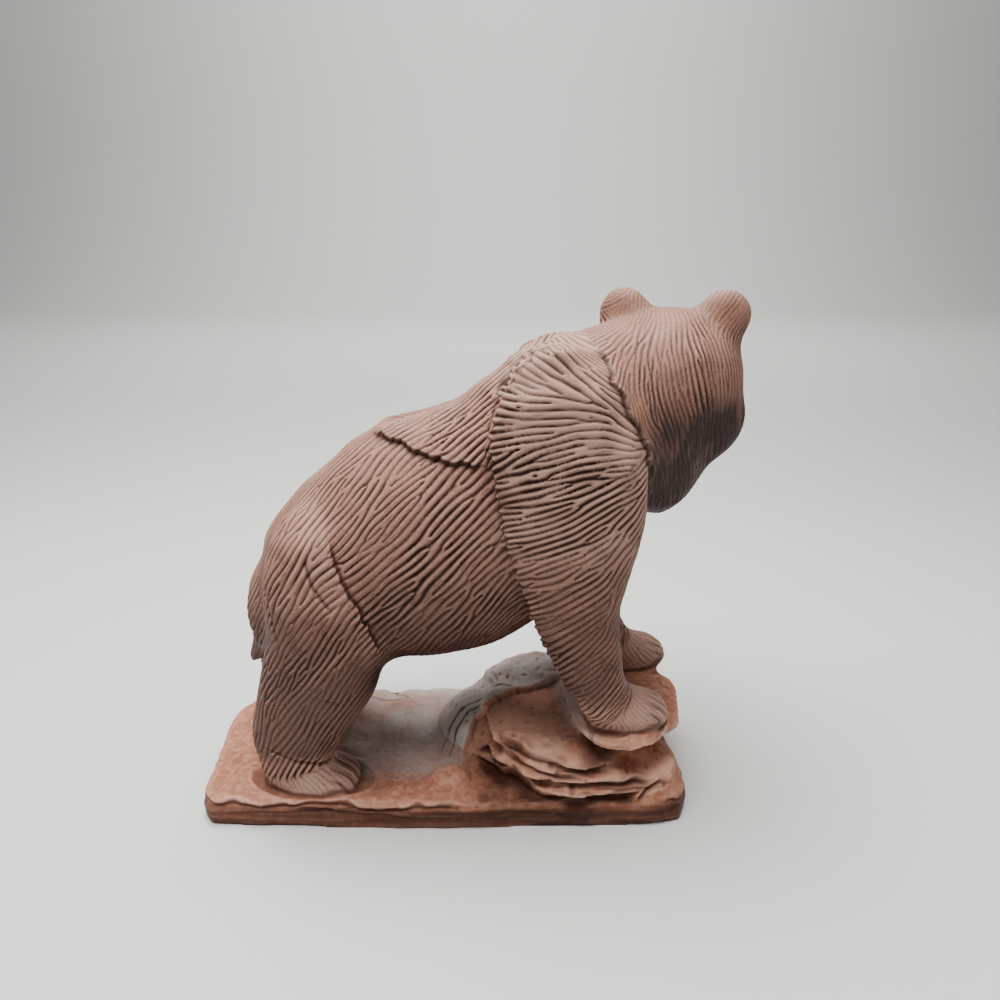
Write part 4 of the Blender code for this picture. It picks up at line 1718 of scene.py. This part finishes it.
class Resin:
    """Builds the casting's material.

    Nut-shell filled resin is a matt, warm brown like fired clay, with fine specks of ground shell. A dark
    wash lies in its grooves, and its ridges are wiped pale. The same dark colour is painted in as shade in
    the grooves, hollows and crevices, on the belly and legs and on the rock's front, and the paws are
    painted pale as painted light.
    """

    def __init__(self, finish: ResinFinish) -> None:
        """Starts an empty material named for the real one.

        Args:
            finish: Colours and gloss.
        """
        self.finish = finish
        self.material = bpy.data.materials.new("cast nut-shell resin")
        self.material.use_nodes = True
        self.tree = self.material.node_tree
        self.tree.nodes.clear()

    def node(self, kind: str, settings: dict[str, object] | None = None, **links: object) -> bpy.types.Node:
        """Adds a node.

        Args:
            kind: Node type.
            settings: Attributes to set on the node.
            **links: Input names, with spaces as underscores, each with a socket to link or a value.

        Returns:
            The node.
        """
        made = self.tree.nodes.new(kind)
        for name, value in (settings or {}).items():
            setattr(made, name, value)
        for name, value in links.items():
            key = int(name[1:]) if name[0] == "i" and name[1:].isdigit() else name.replace("_", " ")
            socket = made.inputs[key]
            if isinstance(value, bpy.types.NodeSocket):
                self.tree.links.new(value, socket)
            else:
                socket.default_value = value
        return made

    def attribute(self, name: str) -> bpy.types.NodeSocket:
        """Returns the value of a point attribute."""
        return self.node("ShaderNodeAttribute", {"attribute_name": name}).outputs["Fac"]

    def mottle(self, size: float, detail: float) -> bpy.types.NodeSocket:
        """Adds smooth random values.

        Args:
            size: Size of a patch in millimetres.
            detail: How much finer pattern is added.

        Returns:
            The values' socket.
        """
        place = self.node("ShaderNodeTexCoord").outputs["Object"]
        made = self.node("ShaderNodeTexNoise", Vector=place, Scale=1000.0 / size, Detail=detail)
        return made.outputs["Fac"]

    def mix(self, share: object, first: object, second: object) -> bpy.types.NodeSocket:
        """Returns the colour between first and second at share."""
        made = self.node("ShaderNodeMix", {"data_type": "RGBA"}, i0=share, i6=first, i7=second)
        return made.outputs[2]

    def span(
        self, value: object, low: float, high: float, to_low: float, to_high: float
    ) -> bpy.types.NodeSocket:
        """Carries a value from one span to another and holds it inside that.

        Args:
            value: The value's socket.
            low: Start of the first span.
            high: Its end.
            to_low: Start of the second span.
            to_high: Its end.

        Returns:
            The new value's socket.
        """
        made = self.node("ShaderNodeMapRange", None, i0=value, i1=low, i2=high, i3=to_low, i4=to_high)
        return made.outputs[0]

    def times(self, first: object, second: object) -> bpy.types.NodeSocket:
        """Returns the product of two values."""
        return self.node("ShaderNodeMath", {"operation": "MULTIPLY"}, i0=first, i1=second).outputs[0]

    def coat_colour(self) -> bpy.types.NodeSocket:
        """Joins the bear's colours: dark grooves between lighter ridges, the dark partly wash and partly
        painted shade.

        Returns:
            The colour's socket.
        """
        finish = self.finish
        broad = self.span(self.mottle(34.0, 2.0), 0.35, 0.65, 0.0, 1.0)
        body = self.mix(broad, linear(finish.coat), linear(finish.coat_warm))
        speck = self.span(self.mottle(1.1, 3.0), 0.42, 0.68, 0.0, 0.35)
        body = self.mix(speck, body, linear(finish.ridge))
        # Rubbed places go pale, and the paws are painted pale as painted light.
        worn_and_lit = self.times(self.attribute("wear_and_painted_light"), 0.9)
        body = self.mix(worn_and_lit, body, linear(finish.ridge))
        tone = self.span(self.attribute("tone"), -1.0, 1.0, 0.0, 0.35)
        body = self.mix(tone, body, linear(finish.ridge))
        # Dark wash in the grooves, which also stands for painted shade in them.
        wash = self.span(self.attribute("groove"), 0.02, 0.62, 0.0, 0.95)
        return self.mix(wash, body, linear(finish.groove))

    def rock_colour(self) -> bpy.types.NodeSocket:
        """Joins the rock's colours: orange-brown with light edges and grey dust.

        Returns:
            The colour's socket.
        """
        finish = self.finish
        broad = self.span(self.mottle(22.0, 3.0), 0.35, 0.65, 0.0, 1.0)
        body = self.mix(broad, linear(finish.rock), linear(finish.rock_deep))
        speck = self.span(self.mottle(3.0, 3.0), 0.45, 0.7, 0.0, 0.3)
        body = self.mix(speck, body, linear(finish.rock_light))
        body = self.mix(self.attribute("wear_and_painted_light"), body, linear(finish.rock_light))
        return self.mix(self.attribute("dust"), body, linear(finish.dust))

    def build(self) -> bpy.types.Material:
        """Joins the colours, the gloss and the fine grain.

        Returns:
            The material.
        """
        finish = self.finish
        colour = self.mix(self.attribute("rock"), self.coat_colour(), self.rock_colour())
        colour = self.mix(self.times(self.attribute("stain"), 0.9), colour, linear(finish.stain))
        # Painted shade in the grooves' dark colour, with some dark wash in the hollows and crevices.
        colour = self.mix(self.times(self.attribute("painted_shade_and_dirt"), 0.9), colour, linear(finish.groove))
        low, high = finish.roughness - 0.07, finish.roughness + 0.07
        gloss = self.span(self.mottle(5.0, 2.0), 0.3, 0.7, low, high)
        specks = self.mottle(0.8, 3.0)
        grain = self.node("ShaderNodeBump", None, Strength=0.5, Distance=0.12 * MM, Height=specks)
        shader = self.node(
            "ShaderNodeBsdfPrincipled",
            None,
            Base_Color=colour,
            Roughness=gloss,
            Normal=grain.outputs[0],
        )
        shader.inputs["Specular IOR Level"].default_value = finish.specular
        self.node("ShaderNodeOutputMaterial", None, Surface=shader.outputs[0])
        return self.material


@dataclass
class Casting:
    """The finished skin with its looks.

    Attributes:
        skin: The fine skin.
        looks: Values at each corner by attribute name.
        part: Order of each quad's Part.
    """

    skin: Skin
    looks: dict[str, Array]
    part: Array

    def make_piece(self, order: int, part: Part, normals: Array, material: bpy.types.Material) -> None:
        """Makes one piece, closed inside where it meets the next.

        Args:
            order: The part's number in self.part.
            part: The part.
            normals: Normals at the skin's corners.
            material: The resin.
        """
        corners, quads = np.unique(self.skin.quads[self.part == order], return_inverse=True)
        points = self.skin.points[corners] + (0, 0, BASE_THICKNESS)
        mesh = bpy.data.meshes.new(part.value)
        mesh.from_pydata(points * MM, [], quads.reshape(-1, 4).tolist())
        for name, values in self.looks.items():
            layer = mesh.attributes.new(name, "FLOAT", "POINT")
            layer.data.foreach_set("value", values[corners].astype(np.float32))
        shell = bmesh.new()
        shell.from_mesh(mesh)
        self.close(shell)
        shell.to_mesh(mesh)
        shell.free()
        mesh.shade_smooth()
        inner = np.zeros((len(mesh.vertices) - len(corners), 3))
        mesh.normals_split_custom_set_from_vertices(np.concatenate([normals[corners], inner]))
        mesh.materials.append(material)
        piece = bpy.data.objects.new(part.value, mesh)
        bpy.context.scene.collection.objects.link(piece)
        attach(piece, "root")
        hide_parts(NODE)
        triangles = sum(len(face.vertices) - 2 for face in mesh.polygons)
        log.info("%s: %d triangles", part.value, triangles)

    def close(self, shell: bmesh.types.BMesh) -> None:
        """Closes a piece: its flat underside first, and then each cut where it meets another.

        A cut is closed by a fan from its middle, which stays inside the casting.

        Args:
            shell: The piece, which is changed.
        """
        floor = [
            edge for edge in shell.edges if edge.is_boundary and all(vert.co.z < 1e-6 for vert in edge.verts)
        ]
        met: dict[bmesh.types.BMVert, int] = {}
        for edge in floor:
            for vert in edge.verts:
                met[vert] = met.get(vert, 0) + 1
        ends = [vert for vert, count in met.items() if count == 1]
        if len(ends) == 2:
            floor.append(shell.edges.new(ends))
        lids = bmesh.ops.contextual_create(shell, geom=floor)["faces"] if floor else []
        self.turn_outward(lids)
        rim = [edge for edge in shell.edges if edge.is_boundary]
        lids = bmesh.ops.holes_fill(shell, edges=rim, sides=0)["faces"]
        self.turn_outward(lids)
        bmesh.ops.poke(shell, faces=lids)

    def turn_outward(self, lids: list[bmesh.types.BMFace]) -> None:
        """Turns each new face the way that the faces beside it run.

        Args:
            lids: The new faces.
        """
        for lid in lids:
            loop = next(loop for loop in lid.loops if len(loop.edge.link_faces) == 2)
            if loop.link_loop_radial_next.vert == loop.vert:
                lid.normal_flip()

    def make_pieces(self, material: bpy.types.Material) -> None:
        """Makes every piece."""
        normals = self.skin.normals()
        for order, part in enumerate(Part):
            self.make_piece(order, part, normals, material)


def parts_of(skin: Skin, anatomy: Anatomy) -> Array:
    """Sorts the skin's quads into parts.

    Args:
        skin: The fine skin, before it is carved.
        anatomy: Tells bear from rock.

    Returns:
        The order of each quad's Part.
    """
    cuts = CutSize()
    order = {part: k for k, part in enumerate(Part)}
    middle = skin.points[skin.quads].mean(axis=1)
    x, _, z = middle.T
    part = np.where(x < cuts.slab, order[Part.SLAB], order[Part.BOULDER])
    behind = np.where(z < cuts.hind_legs, order[Part.HIND_LEGS], order[Part.HINDQUARTERS])
    ahead = np.where(z < cuts.forelegs, order[Part.FORELEGS], order[Part.FOREQUARTERS])
    bear = np.where(x < cuts.chest, order[Part.BARREL], ahead)
    bear = np.where(x < cuts.rump, behind, bear)
    bear = np.where(anatomy.head_depth(middle) > 0, order[Part.HEAD], bear)
    return np.where(anatomy.bear_depth(middle) > 0, bear, part)


def soften(skin: Skin, size: SkinSize, anatomy: Anatomy) -> None:
    """Softens the solid's flat facets, most on the coat.

    Args:
        skin: The coarse skin, which is changed.
        size: How far each part is softened.
        anatomy: Tells bear from rock.
    """
    bear = ease(anatomy.bear_depth(skin.points), -1, 3)
    share = size.rock_share + (1 - size.rock_share) * bear
    share = share * (1 - (1 - size.paw_share) * anatomy.paw_share(skin.points))
    share *= 1 - size.ear_loss * ease(skin.points[:, 2], *size.ear_height)
    share[on_ground(skin.points)] = 0.0
    skin.smooth(share, size.coat_rounds)
    for middle, radius, rounds in SOFT_SPOTS:
        inside = radius - np.linalg.norm(skin.points - np.array(middle), axis=1)
        skin.smooth(ease(inside, 0, 0.5 * radius), rounds)


def on_ground(points: Array) -> Array:
    """Tells which points lie in the plane of the underside."""
    return points[:, 2] <= 0.01 - BASE_THICKNESS


def carve() -> Casting:
    """Carves the casting.

    Returns:
        The finished skin with its looks.
    """
    size = SkinSize()
    anatomy = Anatomy()
    coarse = skin_casting(size)
    log.info("skin: %d quads", len(coarse.quads))
    soften(coarse, size, anatomy)
    gouge = Gouge(GougeSize(), anatomy)
    fur = gouge.lay(coarse)
    log.info("coat laid")
    fine, parents = coarse.refined()
    still = np.where(on_ground(fine.points), 0.0, 1.0)
    part = parts_of(fine, anatomy)
    low = fine.points.min(axis=0)
    crevices = CoatEdges(size.voxel * math.sqrt(size.coat_rounds) / 2).cut(fine, anatomy)
    crevices = np.maximum(crevices, RockWork().carve(fine, anatomy))
    fine.smooth(still * 0.6, 1)
    crevices = np.maximum(crevices, Details().carve(fine, anatomy))
    groove, tone = gouge.cut(coarse, fur, fine, parents)
    fine.points[:, 2] = np.maximum(fine.points[:, 2], low[2])
    log.info("coat and rock carved")
    patina_and_shading = PatinaAndShading(PatinaAndShadingPlaces(), fine, anatomy)
    looks = {
        "groove": groove,
        "tone": tone,
        "rock": patina_and_shading.rock,
        "dust": patina_and_shading.dust(),
        "stain": patina_and_shading.stain(),
        # Rubbed pale places, and painted light that makes the paws pale.
        "wear_and_painted_light": patina_and_shading.wear_and_painted_light(),
        # Painted shade, with some dark wash in the hollows and crevices.
        "painted_shade_and_dirt": patina_and_shading.painted_shade_and_dirt(crevices),
    }
    return Casting(fine, looks, part)


class Studio:
    """A plain pale floor, soft light and the camera."""

    def __init__(self, size: StudioSize) -> None:
        """Keeps the sizes."""
        self.size = size

    def floor_paint(self) -> bpy.types.Material:
        """Makes the floor's matt paint, an even pale tone without reflections.

        Returns:
            The material.
        """
        paint = bpy.data.materials.new("matt floor paint")
        paint.use_nodes = True
        shader = paint.node_tree.nodes["Principled BSDF"]
        shader.inputs["Base Color"].default_value = linear(self.size.floor_colour)
        shader.inputs["Roughness"].default_value = self.size.floor_roughness
        return paint

    def add_floor(self) -> None:
        """Lays a floor that sweeps up into a wall far behind."""
        ground = bmesh.new()
        half, bend = self.size.floor_half, self.size.floor_bend
        profile = [(-half, 0.0)]
        for k in range(self.size.floor_steps + 1):
            turn = math.pi / 2 * k / self.size.floor_steps
            profile.append((half + bend * math.sin(turn), bend * (1 - math.cos(turn))))
        profile.append((half + bend, half))
        for x in (-2 * half, 2 * half):
            row = [ground.verts.new((x, y, z)) for y, z in profile]
            for first, second in zip(row, row[1:]):
                ground.edges.new((first, second))
        bmesh.ops.bridge_loops(ground, edges=ground.edges[:])
        bmesh.ops.recalc_face_normals(ground, faces=ground.faces)
        mesh = bpy.data.meshes.new("floor")
        ground.to_mesh(mesh)
        ground.free()
        mesh.shade_smooth()
        mesh.materials.append(self.floor_paint())
        floor = bpy.data.objects.new("floor", mesh)
        bpy.context.scene.collection.objects.link(floor)

    def add_light(
        self,
        name: str,
        place: tuple[float, float, float],
        size: float,
        watts: float,
        target: tuple[float, float, float] = (0.0, 0.0, 0.12),
    ) -> None:
        """Adds a soft square light.

        Args:
            name: The light's name.
            place: Where it hangs.
            size: Length of its side.
            watts: Its power.
            target: Where it points, which is the figurine if not given.
        """
        lamp = bpy.data.lights.new(name, "AREA")
        lamp.size = size
        lamp.energy = watts
        light = bpy.data.objects.new(name, lamp)
        light.location = place
        aim = np.array(target) - np.array(place)
        light.rotation_euler = (
            math.atan2(math.hypot(aim[0], aim[1]), -aim[2]),
            0.0,
            math.atan2(-aim[0], aim[1]),
        )
        bpy.context.scene.collection.objects.link(light)

    def add_camera(self) -> None:
        """Sets the camera where the photo was taken from."""
        lens = bpy.data.cameras.new("camera")
        lens.lens = self.size.lens
        camera = bpy.data.objects.new("camera", lens)
        camera.location = self.size.camera_place
        camera.rotation_euler = (math.radians(self.size.camera_pitch), 0.0, 0.0)
        bpy.context.scene.collection.objects.link(camera)
        bpy.context.scene.camera = camera

    def build(self) -> None:
        """Builds the studio."""
        self.add_floor()
        size = self.size
        self.add_light("overhead softbox", (-0.10, 0.05, 1.0), 0.8, size.overhead_watts)
        self.add_light("front fill", (0.1, -1.3, 0.7), 1.0, size.fill_watts)
        self.add_light("wall wash", (0.0, 1.4, 1.6), 1.5, size.wall_watts, (0.0, 3.2, 0.5))
        world = bpy.data.worlds.new("room")
        world.use_nodes = True
        background = world.node_tree.nodes["Background"]
        background.inputs["Color"].default_value = size.room_colour
        background.inputs["Strength"].default_value = size.room_strength
        bpy.context.scene.world = world
        self.add_camera()


def main() -> None:
    """Builds the figurine and its studio."""
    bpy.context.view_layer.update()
    carve().make_pieces(Resin(ResinFinish()).build())
    Studio(StudioSize()).build()


if __name__ == "__main__":
    main()
